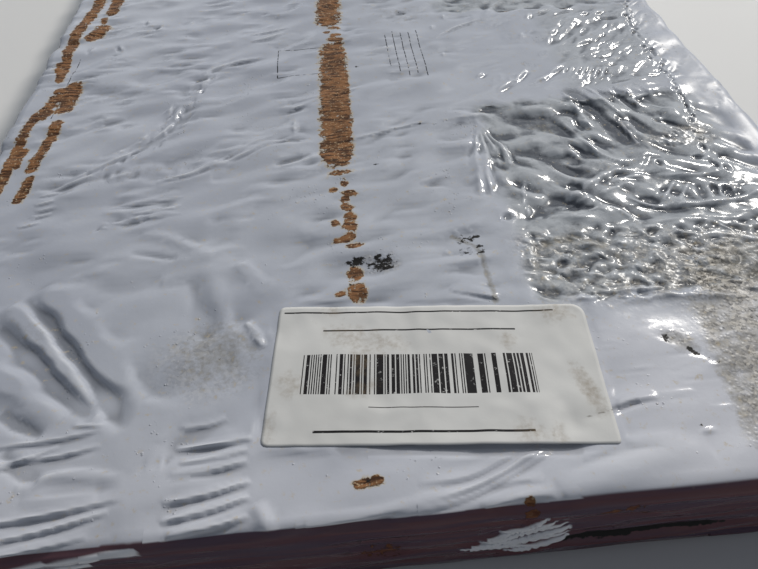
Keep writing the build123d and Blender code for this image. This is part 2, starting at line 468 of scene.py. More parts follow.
def add_near_right(top):
    """Round the label's near and right side: a long crease by the end, and fine ripples."""
    long_crease = [(-34, 0.4), (-12, 2.4), (6, 5.2), (18, 9.2), (28, 13.8), (37, 17.4)]
    top.fold(long_crease, 1.3, front=1.0, back=1.4, ends=0.25)
    top.fold([(x, y - 1.9) for x, y in long_crease[1:]], 0.7, front=0.8, back=1.0, ends=0.3)
    for fold in [
        ([(-4, 8.2), (10, 9.6), (20, 13.4), (29, 17.4)], 0.7, 0.8, 2.0),
        ([(12, 0.6), (22, 2.2), (32, 2.6)], 0.9, 0.8, 2.2), ([(15, 6.2), (22, 7.0), (30, 6.8)], 0.5),
        ([(50, 24.2), (57, 25.8), (63, 27.4), (70, 27.8)], 0.8, 0.6, 2.4, 0.5),
        ([(54, 72), (66, 70), (78, 69.4), (94, 70)], 0.9), ([(16, 76), (24, 73.6), (33, 70.4)], 1.2),
    ]:
        top.fold(*fold)
    for crease in [
        ([(34, 2), (50, 7), (62, 10), (78, 11)], 4.0, 1.0), ([(42, 12), (56, 15), (72, 14.4)], 2.0, 0.5),
        ([(36, 8), (52, 12), (66, 12.5)], 1.2, -0.35),
        ([(70, 64.5), (84, 66.0), (100, 64.6), (116, 62.6)], 1.2, 0.7),
        ([(54, 68), (62, 67.5), (72, 69), (80, 66.8)], 1.2, 0.8),
        ([(46, 92), (50, 92), (52, 97), (51, 103)], 1.3, -0.8),
        ([(0, 96), (12, 94), (26, 95), (40, 93)], 5.0, -0.5), ([(-8, 84), (8, 84), (26, 82)], 3.4, 0.45),
    ]:
        top.crease(*crease)
    for dent in [
        (80, 16, 4.5, 1.6, 10, -0.6), (82.5, 48.5, 8, 4.6, -20, 0.35), (88, 43, 5, 3.4, -45, 0.3),
        (92, 39.5, 7, 2.4, -50, 0.25),
    ]:
        top.dent(*dent)
    top.scatter([(60, 22), (92, 22), (92, 62), (58, 62)], 70, 31, (7, 16), (1.2, 2.0), (3, 5), (-0.10, 0.11))
    top.scatter([(92, 20), (110, 40), (120, 62), (94, 62)], 40, 32, (4, 9), (1, 1.8), (5, 12), (-0.22, 0.25))


def add_pleats(top):
    """In the nearest cut-out: a fan of pleats below one pinched point, and creases beside it."""
    for i in range(9):
        foot = 37.5 + 2.4 * i + (0.7 if i % 2 else 0)
        bend = 43.4 + 0.9 * i
        path = [(46, 180), (bend, 168), (foot, 150), (foot - 1.5, 143)]
        top.crease(path, 0.8, 0.6 if i % 2 else -0.4)
    top.dent(46, 181, 5, 3, 0, -0.8)
    for crease in [
        ([(40, 143), (38.5, 133), (37.5, 124)], 1.3, 0.85),
        ([(43.5, 143), (42.4, 133), (42.6, 124)], 1.2, 0.8),
        ([(46.5, 146), (45.5, 134), (49, 124)], 1.8, -0.9), ([(52, 160), (53, 152), (55, 143)], 1.6, 0.9),
        ([(47, 150), (46.5, 145), (48, 140)], 1.0, 0.6),
    ]:
        top.crease(*crease)


def add_cut_out_hollows(top):
    """Where the film is drawn down into the nearest cut-out."""
    for x, y, length, width, turn, depth in [
        (66, 176, 26, 13, -38, 1.0), (76, 171, 16, 9, -30, 0.7), (82, 169, 13, 4, -68, 1.3),
        (70, 148, 20, 6, -14, 0.9), (81, 145, 12, 5, -75, 1.4), (76, 138, 13, 5.5, -44, 1.5),
        (97, 192, 11, 4.5, -50, 1.4), (103, 180, 30, 6, -72, 1.5), (92, 171, 13, 3, -85, 0.9),
        (96, 155, 13, 4, -65, 0.8), (114, 173, 10, 6, 30, 0.8), (118, 166, 19, 4.5, -80, 1.1),
        (119, 188, 18, 5, -66, 1.1), (111, 190, 12, 3.5, -60, 0.9), (132, 166, 18, 4, -35, 1.1),
        (128, 186, 20, 10, -55, 0.7), (103, 115.5, 7, 5, -20, 1.2), (38, 174, 9, 5, 80, 0.6),
        (33, 165, 14, 7, 0, 0.5), (27, 134, 20, 9, -25, 0.6), (76, 128, 7, 3.4, 70, 0.9),
        (78.5, 127, 7, 2.6, 75, 0.8), (85, 152, 14, 4, -60, 0.9),
    ]:
        top.dent(x, y, length, width, turn, depth, flat=1.3)
    # long hollows, darkened along them with painted shade
    for points, width, depth in [
        ([(96, 195), (100, 185), (104, 174), (108, 163), (112, 152)], 9, 0.9),
        ([(60, 180), (68, 176), (76, 172), (85, 165)], 10, 0.6),
        ([(68, 148), (73, 144), (77, 140), (83, 135)], 6, 0.8),
        ([(72, 147), (79, 146), (84, 142)], 4, 0.5), ([(112, 192), (118, 188), (123, 182)], 4, 0.7),
        ([(117, 173), (120, 166), (123, 159), (128, 155)], 5, 0.7),
        ([(92, 112), (100, 111.5), (110, 108.5), (120, 109), (131, 109)], 3, 0.4),
        ([(18, 137), (27, 131), (36, 126)], 12, 0.3), ([(76.5, 129), (78, 126), (78, 122)], 3, 0.5),
    ]:
        top.crease(points, 0.35 * width, -depth)
        top.streak("cling_and_shade", points, width, min(0.85, depth))
    # a hollow with a flat floor and a drawn rim
    top.dent(106, 161, 21, 11, -74, 1.3, flat=3)
    top.crease([(101, 172), (101.5, 163), (104, 153)], 1.0, 0.5)
    top.crease([(110.5, 170), (112, 160), (112.5, 151)], 1.0, 0.7)


def add_cut_out_crests(top):
    """Crests between the hollows of the nearest cut-out."""
    for points, width, height in [
        ([(84, 176), (88, 164), (90, 155), (99, 141), (112, 143)], 1.6, 1.0),
        ([(60, 115), (72, 119), (82, 127), (94, 134), (106, 136), (114, 146)], 1.7, 1.1),
        ([(92, 196), (94, 184), (96, 172), (98, 160)], 1.3, 0.9),
        ([(107, 190), (111, 180), (116, 172)], 1.4, 0.7),
        ([(114, 196), (117, 186), (120, 178)], 1.1, 0.7),
        ([(122, 194), (124, 186), (124, 180)], 1.0, 0.8), ([(60, 182), (74, 184), (90, 186)], 3.0, 0.6),
        ([(112, 111.5), (124, 110.6), (140, 112.5), (152, 117)], 1.2, 1.0),
        ([(82, 110), (84, 112.6), (88, 111.5), (92, 107.5), (96, 103.6)], 1.4, 0.9),
        ([(96, 103.4), (108, 103), (122, 101)], 1.0, 0.5),
        ([(107, 113), (112, 119), (118, 126)], 0.8, 0.8),
        ([(114, 112.5), (118, 118), (123, 124)], 0.8, 0.8),
        ([(95, 118), (100, 114), (105, 111.6), (112, 112.4)], 1.1, 0.9),
        ([(112, 130), (124, 128.4), (138, 129)], 1.0, 0.8),
        ([(88, 126), (98, 130), (110, 131)], 1.2, 0.6), ([(84, 120), (94, 125), (102, 128)], 1.0, 0.6),
        ([(66, 117), (72, 116), (80, 119)], 1.0, 0.7),
    ]:
        top.crease(points, width, height)


def add_cut_out_bubbles(top):
    """Bubbles and small folds in the nearest cut-out."""
    top.crease([(98, 107), (116, 107.5), (140, 107)], 3.4, -0.6)
    # painted shade in the bubbles
    for x, y in [(125.5, 117.5), (131, 118), (136, 117)]:
        top.blot("cling_and_shade", x, y, 7, 4, 80, 0.9)
    top.dent(137, 173, 12, 9, 60, -1.4, flat=1.6)
    for x, y, length, width, turn in [
        (125.5, 117.5, 11, 5, 80), (131, 118, 8, 3.6, 80), (135.5, 116.5, 8, 4.6, 80),
        (138.5, 134, 7, 3.5, 100), (142, 131, 5, 3, 90), (134, 140, 6, 3, 0), (139, 146, 6, 3, 90),
        (45, 111, 5, 4, 30), (121, 98.5, 5, 4, 0), (97, 98, 6, 4, 30), (116, 137, 5, 3, 90),
    ]:
        top.bubble(x, y, length, width, turn, 0.9)
    for x, y in [(56, 129), (54.5, 124), (53.5, 119), (54, 114)]:
        top.dent(x, y, 5, 1.8, 75, -0.8)
    for zone in [
        ([(84, 100), (146, 104), (150, 150), (96, 140)], 40, 41, (7, 16), (1.6, 3.2), (20, 16), (-0.4, 0.5)),
        ([(86, 148), (142, 150), (142, 196), (90, 196)], 36, 42, (7, 16), (1.5, 3.0), (-62, 12), (-0.4, 0.5)),
        ([(118, 150), (142, 148), (142, 164), (122, 160)], 60, 43, (2, 4), (1.2, 2.2), (0, 60), (-0.5, 0.5)),
        ([(20, 96), (84, 96), (84, 140), (20, 140)], 50, 44, (8, 20), (2.5, 5.0), (4, 10), (-0.2, 0.24)),
        ([(44, 104), (84, 98), (88, 122), (60, 112)], 60, 45, (3, 7), (1.2, 2.2), (20, 30), (-0.35, 0.4)),
    ]:
        top.scatter(*zone)


def add_gritty_strip(top):
    """The gritty strip, where the film is pressed onto the granules."""
    for zone in [
        ([(46, 66), (136, 62), (140, 101), (44, 100)],
         320, 46, (2.4, 8.0), (1.2, 2.8), (-14, 34), (-0.5, 0.7)),
        ([(60, 72), (84, 70), (84, 92), (58, 88)], 36, 47, (6, 12), (1.6, 2.8), (52, 14), (-0.5, 0.5)),
        ([(18, 94), (34, 92), (34, 106), (18, 106)], 30, 48, (2, 4), (1.2, 2.0), (-30, 40), (-0.4, 0.4)),
        ([(29, 70), (33, 70), (33, 102), (29, 102)], 24, 49, (1.5, 3), (1.0, 1.6), (90, 30), (-0.3, 0.3)),
    ]:
        top.scatter(*zone)


def add_far_right(top):
    """Beyond the nearest cut-out on the right: thin slanting folds, loops and pits."""
    top.fold([(38, 258), (50, 267), (60, 272.5), (70, 277)], 0.7, back=1.8)
    top.crease([(70, 275), (73, 282), (77, 290), (83, 300), (92, 306)], 1.8, 0.9)
    for x, y, length, turn in [
        (104, 281, 12, 28), (118, 281, 10, 24), (128, 277, 9, 22), (96, 277, 7, 60), (136, 276, 8, 25),
        (66, 205, 12, 42), (76, 214, 14, 52), (86, 209, 13, 34), (95, 217, 14, 40), (56, 217, 6, 50),
        (105, 257, 12, 50), (100, 248, 8, 60), (117, 243, 14, 30),
    ]:
        top.dent(x, y, length, 2.4, turn, -0.95)
        top.dent(x + 1.6, y - 2.0, length, 2.4, turn, 0.5)
    for i in range(7):
        top.dent(98 + 3.2 * i, 214.5 - 0.5 * i, 7.5, 1.7, 55, -0.8)
        top.dent(99.6 + 3.2 * i, 214 - 0.5 * i, 7.5, 1.6, 55, 0.6)
    for i in range(5):
        top.dent(104 + 3.6 * i, 208 - 0.4 * i, 6, 1.6, 50, -0.55)
    for x, y, length, width, turn, depth in [
        (116, 256, 24, 6, 55, 1.0), (124, 258, 22, 4, 56, 0.9), (131, 262, 18, 5, 58, 0.8),
        (140, 268, 10, 4, 0, 1.0), (92, 256, 18, 10, 100, 0.5), (56, 281, 14, 6, 0, 0.4),
        (24, 291, 10, 5, -30, 0.5), (78, 246, 30, 7, 5, 0.4),
    ]:
        top.dent(x, y, length, width, turn, depth, flat=1.3)
    for x, y in [(41, 240), (48, 283), (87, 255), (40, 272)]:
        top.dent(x, y, 5, 2.4, 80, -0.7)
    for zone in [
        ([(104, 244), (150, 244), (162, 286), (112, 276)], 84, 51, (8, 18), (1.4, 2.4), (57, 9), (-0.5, 0.5)),
        ([(104, 226), (148, 230), (150, 248), (106, 244)],
         42, 52, (8, 18), (1.4, 2.4), (30, 10), (-0.42, 0.45)),
        ([(118, 198), (150, 200), (152, 230), (120, 228)],
         38, 53, (8, 17), (1.4, 2.4), (12, 12), (-0.42, 0.45)),
        ([(100, 196), (126, 196), (126, 206), (100, 206)],
         20, 54, (5, 10), (1.4, 2.4), (60, 12), (-0.3, 0.3)),
        ([(150, 244), (166, 240), (167, 290), (152, 288)],
         30, 55, (4, 11), (1.3, 2.2), (66, 14), (-0.12, 0.12)),
        ([(162, 180), (168, 180), (168, 240), (162, 240)],
         24, 56, (3, 7), (1.3, 2.0), (80, 30), (-0.09, 0.09)),
        ([(146, 96), (168, 100), (168, 180), (146, 180)], 50, 57, (3, 8), (1.4, 2.4), (70, 30), (-0.2, 0.22)),
    ]:
        top.scatter(*zone)
    # thin loops of creased film
    random = np.random.default_rng(59)
    for _ in range(26):
        x, y = random.uniform(62, 152), random.uniform(206, 284)
        size = (random.uniform(6, 12), random.uniform(2.6, 4.4))
        top.loop(x, y, *size, random.normal(52, 10), random.uniform(0.12, 0.26))
    # a chain of small pits beside the smooth strip along the edge
    random = np.random.default_rng(58)
    for t in np.linspace(0, 1, 34):
        x = 145 + 3.5 * math.sin(4 * t) + 14 * max(0.0, t - 0.62) / 0.38
        y = 166 + 122 * t
        size = (random.uniform(3.5, 6), random.uniform(2.2, 3.2))
        top.bubble(x + random.normal(0, 1.2), y, *size, 75, 0.75)


def add_rest_of_top(top):
    """Beyond the photographed stretch the film carries on in the same way."""
    random = np.random.default_rng(61)
    for _ in range(16):
        x, y = random.uniform(-150, 20), random.uniform(335, 985)
        turn = math.radians(random.normal(28, 16))
        half = random.uniform(14, 42)
        dx, dy = half * math.cos(turn), half * math.sin(turn)
        path = [(x - dx, y - dy), (x, y + random.normal(0, 4)), (x + dx, y + dy)]
        top.fold(path, random.uniform(0.9, 1.8), front=2.4, back=random.uniform(4, 7))
    for start, end in cut_outs()[1:]:
        corners = [(48, start), (160, start), (160, end), (48, end)]
        count = int(0.9 * (end - start))
        turn = random.uniform(-60, 40)
        top.scatter(corners, count, int(start), (16, 40), (4.0, 8.0), (turn, 12), (-0.5, 0.5))
        rim = [(46, start - 12), (160, start - 12), (160, start + 8), (46, start + 8)]
        top.scatter(rim, 24, int(start) + 1, (10, 22), (3.6, 6.0), (60, 14), (-0.35, 0.4))
    by_far_end = [(-165, 960), (165, 960), (165, 1004), (-165, 1004)]
    top.scatter(by_far_end, 60, 62, (14, 36), (4, 6), (0, 6), (-0.6, 0.6))


def add_rust(top):
    """Two bands of rust along the top."""
    # the one in the middle is solid at first and then broken up towards the label
    for strip in [
        ([(-17, 345), (-17, 320), (-18, 288)], 13.0),
        ([(-16.8, 253), (-17.5, 224), (-18, 205), (-18.6, 172), (-19, 158)], 13.0),
        ([(-13.5, 225), (-13.5, 200), (-14.2, 172), (-15.4, 158)], 6.0),
    ]:
        top.streak("rust", *strip)
    for x, y, length, width in [
        (-15.5, 277.5, 7, 4), (-19.5, 272, 4, 3), (-14.5, 268, 6, 4), (-15, 263.8, 9, 4),
        (-13.5, 260, 6, 3),
    ]:
        top.blot("rust", x, y, length, width, 0)
    for x, y, length, width, turn in [
        (-18, 146.5, 11, 4, 0), (-16.7, 139.2, 3, 5, 0), (-21.5, 135.3, 4.5, 3, 20),
        (-15, 131.8, 6, 3.6, 10), (-17, 128.6, 4, 3.4, 30), (-16.4, 124, 5, 4, 0), (-15.6, 118, 5, 6, 0),
        (-15.8, 112, 5.4, 7, 0), (-16.3, 106.5, 5, 4, 0), (-21.1, 114.5, 3.4, 4, 0),
        (-20.6, 105.2, 4, 2.8, 0), (-18.4, 105, 3, 2.4, 0), (-14.6, 101.7, 7, 3, 10),
        (-15.6, 88, 5.6, 8, 0), (-15.2, 78.5, 6.6, 8, 0), (-21, 78, 3.4, 2.6, 20), (-18.6, 10.2, 5, 3, 0),
        (-14.8, 10.6, 4, 3, 0), (25, 1.2, 3, 3, 0),
    ]:
        top.blot("rust", x, y, length, width, turn)
    # the one along the left side
    for strip in [
        ([(-157.5, 345), (-158, 321), (-160.5, 300), (-161, 284), (-160.4, 270)], 6.5),
        ([(-160.4, 274), (-159.6, 262), (-158.2, 248), (-157.6, 240)], 5.0),
        ([(-162.5, 258), (-162, 250)], 2.6), ([(-147.5, 345), (-146.8, 330), (-146.8, 318)], 7.0),
        ([(-149.5, 310), (-149, 305)], 4.0), ([(-148, 298), (-149.5, 291), (-151.5, 286)], 8.0),
        ([(-148, 232), (-148.5, 222), (-148.5, 212)], 8.5),
        ([(-154, 229), (-155.5, 218), (-157.8, 207)], 6.5),
        ([(-160.6, 208), (-161, 195), (-161.3, 183), (-161, 168), (-161, 150), (-160.5, 130)], 4.6),
        ([(-158.2, 180), (-157.8, 168)], 3.4),
        ([(-148.2, 200), (-148.5, 190), (-149.4, 177), (-150.6, 165)], 5.0),
        ([(-149, 158), (-149.4, 150), (-150.2, 144)], 4.2),
    ]:
        top.streak("rust", *strip)


def add_smears(top):
    """Black smears, one of them with dirt and grit round it."""
    for spot in [
        (-14.6, 94.0, 8, 5, 10), (-5.6, 92.6, 13, 9, 10, 0.88), (-16.6, 81.6, 4, 2.4, 0, 0.8),
        (-2.7, 149.4, 4, 1.4, 0), (19.7, 177.0, 2.4, 1.2, 0), (25.0, 291.6, 6, 2.4, -20, 0.8),
        (-6.0, 233.0, 4, 2, 10, 0.75), (-20.5, 178.6, 1.8, 1.2, 0), (-19.6, 155.4, 2.6, 1.2, 0),
        (80.5, 48.5, 4, 4.4, -20, 0.95), (87.4, 43, 5, 2.6, -45), (92, 39.5, 6, 1.6, -50, 0.8),
        (78.3, 18.2, 1.8, 1.1, 0, 1.0), (81.2, 18.0, 1.8, 1.1, 0, 1.0), (-16.6, 10.8, 4, 2, 0, 0.8),
        (-61, 56, 2.2, 1.6, 0, 0.7),
    ]:
        top.blot("smear_and_shadow", *spot)
    top.blot("dirt", 85, 46.5, 14, 8, -35, 0.9)
    top.blot("grit", 84.5, 48.5, 9, 4.6, -20)
    top.fill("smear_and_shadow", [(22, 92), (34, 92), (34, 104), (22, 104)], 4, 0.6)


def add_dirt(top):
    """Grey and brown dirt, and grit."""
    for spot in [
        (-62, 58, 30, 30, 20, 0.8), (-124, 72, 26, 18, 0, 0.5), (-12, 90, 26, 14, 0, 0.4),
        (-104, 157, 44, 14, 10, 0.5), (-128, 226, 60, 40, 0, 0.42), (-58, 160, 44, 10, 20, 0.42),
        (20, 290, 60, 30, 0, 0.45), (76, 171, 14, 10, -20, 0.7),
    ]:
        top.blot("dirt", *spot)
    for zone in [
        ([(88, 8), (112, 8), (124, 66), (94, 66)], 8, 0.9),
        ([(44, 66), (170, 62), (170, 98), (44, 102)], 10, 0.5),
        ([(96, 60), (170, 58), (170, 92), (110, 92)], 14, 0.85),
    ]:
        top.fill("dirt", *zone)
    top.streak("dirt", [(22, 103), (30, 96), (31, 84), (31, 70)], 2.6, 1.0)
    top.streak("dirt", [(56, 96), (66, 97), (76, 92)], 6, 0.9)
    for zone in [
        ([(46, 66), (170, 62), (170, 98), (44, 101)], 12, 0.55),
        ([(92, 62), (170, 60), (170, 94), (106, 96)], 16),
        ([(90, 10), (110, 10), (124, 66), (96, 66)], 6, 0.7),
        ([(116, 150), (146, 148), (146, 165), (120, 162)], 5, 0.6),
    ]:
        top.fill("grit", *zone)
    top.blot("grit", -64, 56, 30, 26, 0, 0.35)
    top.blot("grit", -6, 92, 12, 10, 0, 0.8)


def make_label_relief():
    """The label's own waves, its smears, and painted shadow along two of its creases."""
    label = Relief(np.linspace(-60, 60, 241), np.linspace(-34, 34, 137))
    label.h += 0.13 * label.noise(30, 71)
    label.h += 0.05 * label.noise(11, 72)
    for crease in [
        ([(-5, 26), (-4.5, 18), (-6, 8)], 2.6, 0.34), ([(-12, 26), (-11, 18), (-12, 9)], 4.0, -0.16),
        ([(-24, -12), (-14, -15), (-4, -12)], 1.6, 0.16), ([(10, -16), (18, -13), (26, -16)], 1.8, 0.18),
        ([(12, 12), (20, 4), (22, -6)], 2.4, 0.18), ([(28, -10), (31, -17), (32, -25)], 3.4, 0.34),
        ([(36, -10), (38.5, -17), (40, -22)], 2.4, -0.34),
        ([(42, -17.6), (47.5, -16), (52, -15)], 0.9, -0.22),
        ([(34, -25), (34.6, -20), (36.5, -15.5)], 0.8, -0.2),
        ([(25, -18), (26.6, -21), (27.6, -26)], 1.0, 0.16), ([(44, 26), (42, 12), (43, 0)], 5.0, 0.16),
        ([(22, 8), (25, -1), (24, -8)], 3.0, 0.12), ([(-30, -12), (-20, -15.5), (-8, -14)], 3.0, 0.12),
    ]:
        label.crease(*crease)
    for x, y, length, width, turn, amount in [
        (-24, 12, 22, 10, -20, 0.62), (-15, 10, 14, 6, 0, 0.6), (-23, 4, 6, 12, 0, 0.6),
        (-22, -7, 10, 5, 20, 0.6), (-44.5, -5, 7, 10, 30, 0.62), (-49, -20, 4, 12, 0, 0.58),
        (45.5, -7, 5, 16, 20, 0.78), (47, -13, 5, 8, 30, 0.7), (41, 22, 12, 8, 0, 0.62),
        (24, 11, 5, 7, 0, 0.62), (26, -21, 8, 8, 0, 0.66), (34, -22, 5, 8, 0, 0.6),
        (-33, 24, 8, 5, 0, 0.55),
    ]:
        label.blot("dirt", x, y, 1.2 * length, 1.2 * width, turn, 1.2 * amount)
    # painted shadow along two creases near the lower right, and a dark smear
    label.streak("smear_and_shadow", [(43, -16.8), (47.5, -15.6), (51, -14.6)], 0.9, 0.8)
    label.streak("smear_and_shadow", [(32, -23.5), (34, -19), (35.6, -16)], 0.7, 0.7)
    label.blot("smear_and_shadow", 26, -21, 3, 6, 0, 0.5)
    return label


def label_places(x, y):
    """Places on the label for places on the top."""
    c, s = math.cos(math.radians(LABEL_TURN)), math.sin(math.radians(LABEL_TURN))
    dx, dy = x - LABEL_CENTRE[0], y - LABEL_CENTRE[1]
    return dx * c + dy * s, dy * c - dx * s


def label_lift(u, v):
    """How far the label's lower edge and its far right corner have come off the film."""
    low_edge = smooth(v, -20, -25.4) * smooth(u, -36, 8) * smooth(u, 46, 34)
    corner = smooth(u + v, 66, 76)
    return 0.5 * low_edge + 0.3 * corner


def add_label_bed(top, label):
    """Smooths the film under the label, and sinks it along the label's lower edge."""
    u, v = label_places(top.x, top.y)
    outside = np.maximum(np.abs(u) - LABEL_SIZE[0] / 2, np.abs(v) - LABEL_SIZE[1] / 2)
    under = smooth(outside, 3.0, 0.6)
    bed = SLACK + label.sample(label.h, u, v)
    trough = 0.8 * smooth(np.abs(v + 26.6), 2.6, 0.6) * smooth(u, -32, 4) * smooth(u, 44, 34)
    top.h = top.h * (1 - under) + bed * under - trough


def make_top(label):
    """The film's relief over the top of the bundle."""
    top = Relief(ACROSS, ALONG)
    top.h += SLACK
    sag = add_cut_out_sag(top)
    add_undulation(top)
    add_drawn_waves(top, sag)
    for add_zone in (
        add_far_left,
        add_mid_left,
        add_near_left,
        add_near_right,
        add_pleats,
        add_cut_out_hollows,
        add_cut_out_crests,
        add_cut_out_bubbles,
        add_gritty_strip,
        add_far_right,
        add_rest_of_top,
    ):
        add_zone(top)
    add_label_bed(top, label)
    # a slit beside the label's right edge
    top.crease([(54, 24.8), (58, 25.9), (64, 27.2)], 0.8, -0.6, ends=0.25)
    add_rust(top)
    add_smears(top)
    add_dirt(top)
    # the film can't sink into the shingle under it
    floor = LOWEST_DIP + (LOWEST_DIP_IN_CUT_OUT - LOWEST_DIP) * smooth(sag, 0.5, 1.0)
    top.h = floor + DIP_SOFTNESS * np.logaddexp(0, (top.h - floor) / DIP_SOFTNESS)
    # and its folds stand only so high
    top.h = HIGHEST_FOLD - CREST_SOFTNESS * np.logaddexp(0, (HIGHEST_FOLD - top.h) / CREST_SOFTNESS)
    # in its hollows the film is darkened with painted shade, partly the dark shingle showing through where
    # the film clings
    photographed = smooth(top.y, PHOTO_END + 20, PHOTO_END - 5)
    hollow = top.hollows(2.8, 0.65) * (0.5 + 0.5 * photographed)
    top.masks["cling_and_shade"] = np.maximum(top.masks["cling_and_shade"], hollow)
    # along its crests a painted highlight makes it whiter, and so it does in two patches right of the label
    top.masks["crest_highlight"] = top.hollows(1.3, -0.4)
    top.blot("crest_highlight", 62, 11.5, 34, 8, 8, 1.0)
    top.blot("crest_highlight", 86, 53.5, 14, 5, -25, 0.8)
    # painted shadow darkens the slit at the label's right edge and the gap under its lower edge
    top.streak("cling_and_shade", [(54.5, 25.0), (58.5, 26.0), (63, 27.0)], 1.8, 1.4)
    top.streak("cling_and_shade", [(-24, 21.0), (4, 18.3), (30, 15.8), (42, 14.6)], 3.4, 1.3)
    # where it is drawn into the cut-outs it is crinkled all over
    top.masks["drawn"] = smooth(sag, 0.1, 0.6) * smooth(top.x, 158, 146) * (0.35 + 0.65 * photographed)
    top.fill("drawn", [(96, 196), (146, 200), (158, 290), (100, 290)], 16, 0.7)
    return top


def make_end(seed):
    """The film over one end of the bundle, folded like a parcel, with the upper flap outermost."""
    end = Relief(ACROSS, UP)
    wander = 0.7 * end.noise(40, seed) + 0.25 * end.noise(12, seed + 1)
    half = WIDTH / 2 - 2
    from_middle = np.abs(end.x) + wander
    upper = smooth(end.y + wander, 9.6, 10.8) * smooth(from_middle, end.y + half - 38, end.y + half - 40)
    lower = smooth(from_middle, half - end.y - 2, half - end.y - 4) * smooth(end.y, 26, 25)
    end.h += 0.9 * upper + 0.4 * lower * (1 - upper)
    end.h += 0.24 * end.noise(6.0, seed + 2, stretch=8)
    for side in (-1, 1):
        for i in range(7):
            # small gathers where the flap turns the corner
            foot = side * (half - 34 + 4 * i)
            path = [(side * half, 39), (side * (half - 12 + i), 26), (foot, 12 + i)]
            end.crease(path, 1.3, 0.5 if i % 2 else -0.3)
    return end


def add_near_end_detail(end):
    """What the photograph shows of the end: gathered wrinkles with a painted highlight, a gap above the free
    edge with a painted shadow, stains, and painted shade over the rest.
    """
    # gathered wrinkles, kept out of the end's painted shade and given a painted highlight
    for left, low, right, high in [
        (22, 12.5, 37, 16.5), (23, 15.5, 38.5, 19.5), (9, 15.5, 38, 23.0), (12, 18.0, 38, 26.5),
        (14, 21.0, 36, 29.5), (16, 23.5, 33, 32.0), (19, 27.5, 30, 34.5),
    ]:
        path = [(left, low), ((left + right) / 2, (low + high) / 2 + 0.9), (right, high)]
        end.fold(path, 1.9, 0.8, 1.2, 0.4)
        end.streak("end", path, 2.0)
        end.streak("crest_highlight", path, 1.0)
    # the gap and the free edge under it
    end.crease([(36, 15), (56, 16.4), (82, 16.0)], 2.4, -1.6)
    end.fold([(20, 9.5), (50, 11.5), (90, 11.0), (130, 10.5)], 1.1, 0.9, 2.2, 0.3)
    # pale folds further left, kept out of the end's painted shade
    for x, z, length, height in [
        (-150, 33, 30, 1.0), (-128, 30, 34, 1.2), (-120, 36, 36, 1.2), (-104, 33, 24, 0.9),
        (-92, 38, 26, 0.8), (-112, 25, 30, 0.9), (-136, 22, 26, 0.8),
    ]:
        path = [(x - length / 2, z - 1.5), (x, z), (x + length / 2, z + 1.5)]
        end.fold(path, 1.2 * height, 0.7, 1.4, 0.6)
        end.streak("end", path, 3.0, 0.9)
    # painted shade in the end's hollows
    end.masks["cling_and_shade"] = end.hollows(1.2, 0.4)
    # everything but the wrinkles and these folds gets painted shade
    end.masks["end"] = 1 - end.masks["end"]
    for spot in [
        (50, 35, 18, 4, 12, 0.62), (58, 32, 14, 3, 8, 0.55), (-14, 22, 14, 10, 0, 0.6),
        (25.5, 38.5, 3, 4, 90, 1.0),
    ]:
        end.blot("rust", *spot)
    # painted shadow in the gap above the free edge
    end.blot("smear_and_shadow", 61, 16.2, 46, 3.4, 2, 2.4)


def make_side(seed, toothed):
    """The film over one long side, drawn tight over the edges of the shingles."""
    side = Relief(ALONG, UP)
    wander = 0.5 * side.noise(60, seed)
    offset = 0.0 if toothed else 0.5
    layers = np.sin(2 * math.pi * (side.y / PAIR_PITCH + offset) + wander)
    side.h += 0.16 * layers * smooth(side.noise(90, seed + 1, stretch=2), -1.2, 0.8)
    side.h += 0.22 * side.noise(7, seed + 2, stretch=7)
    side.h += 0.12 * side.noise(16, seed + 3, stretch=0.35)
    random = np.random.default_rng(seed)
    for _ in range(34):
        y, z = random.uniform(20, LENGTH - 20), random.uniform(8, 34)
        half = random.uniform(10, 32)
        tilt = random.normal(0, 3)
        height = random.uniform(0.4, 1.0)
        path = [(y - half, z - tilt), (y, z + random.normal(0, 1)), (y + half, z + tilt)]
        side.fold(path, height, 1.6, 3.2)
    return side


def make_bottom():
    """The underside, pressed flat, where the film's long edges lap."""
    bottom = Relief(ACROSS, ALONG)
    wander = 1.5 * bottom.noise(70, 91)
    lap = smooth(bottom.x + wander, 20.6, 19.4) * smooth(bottom.x, -45, -20)
    bottom.h -= 0.3 * (1 - lap)
    bottom.h -= 0.1 + 0.05 * bottom.noise(40, 92, stretch=0.4)
    return bottom


def block_min(values, size):
    """The smallest value in each square block of cells."""
    a, b = values.shape
    return values.reshape(a // size, size, b // size, size).min(axis=(1, 3))


def with_neighbours(blocks):
    """The smallest value among each block and its neighbours."""
    padded = np.pad(blocks, 1, mode="edge")
    rows, columns = blocks.shape
    result = blocks.copy()
    for i in range(3):
        for j in range(3):
            result = np.minimum(result, padded[i : i + rows, j : j + columns])
    return result


def grown(blocks, size):
    """Spreads a flag for each block over the block's cells."""
    return np.repeat(np.repeat(blocks, size, axis=0), size, axis=1)


def cell_sizes(wanted):
    """Splits a face into square cells, each no larger than is wanted anywhere inside it.

    Neighbouring cells differ by no more than a factor of two."""
    sizes = np.full(wanted.shape, LARGEST_CELL)
    size = LARGEST_CELL
    while size > 1:
        split = (block_min(wanted, size) < size) & (block_min(sizes, size) == size)
        sizes[grown(split, size)] = size // 2
        size //= 2
    changed = True
    while changed:
        changed = False
        size = LARGEST_CELL
        while size > 2:
            blocks = block_min(sizes, size)
            split = (blocks == size) & (with_neighbours(blocks) < size // 2)
            if split.any():
                sizes[grown(split, size)] = size // 2
                changed = True
            size //= 2
    return sizes


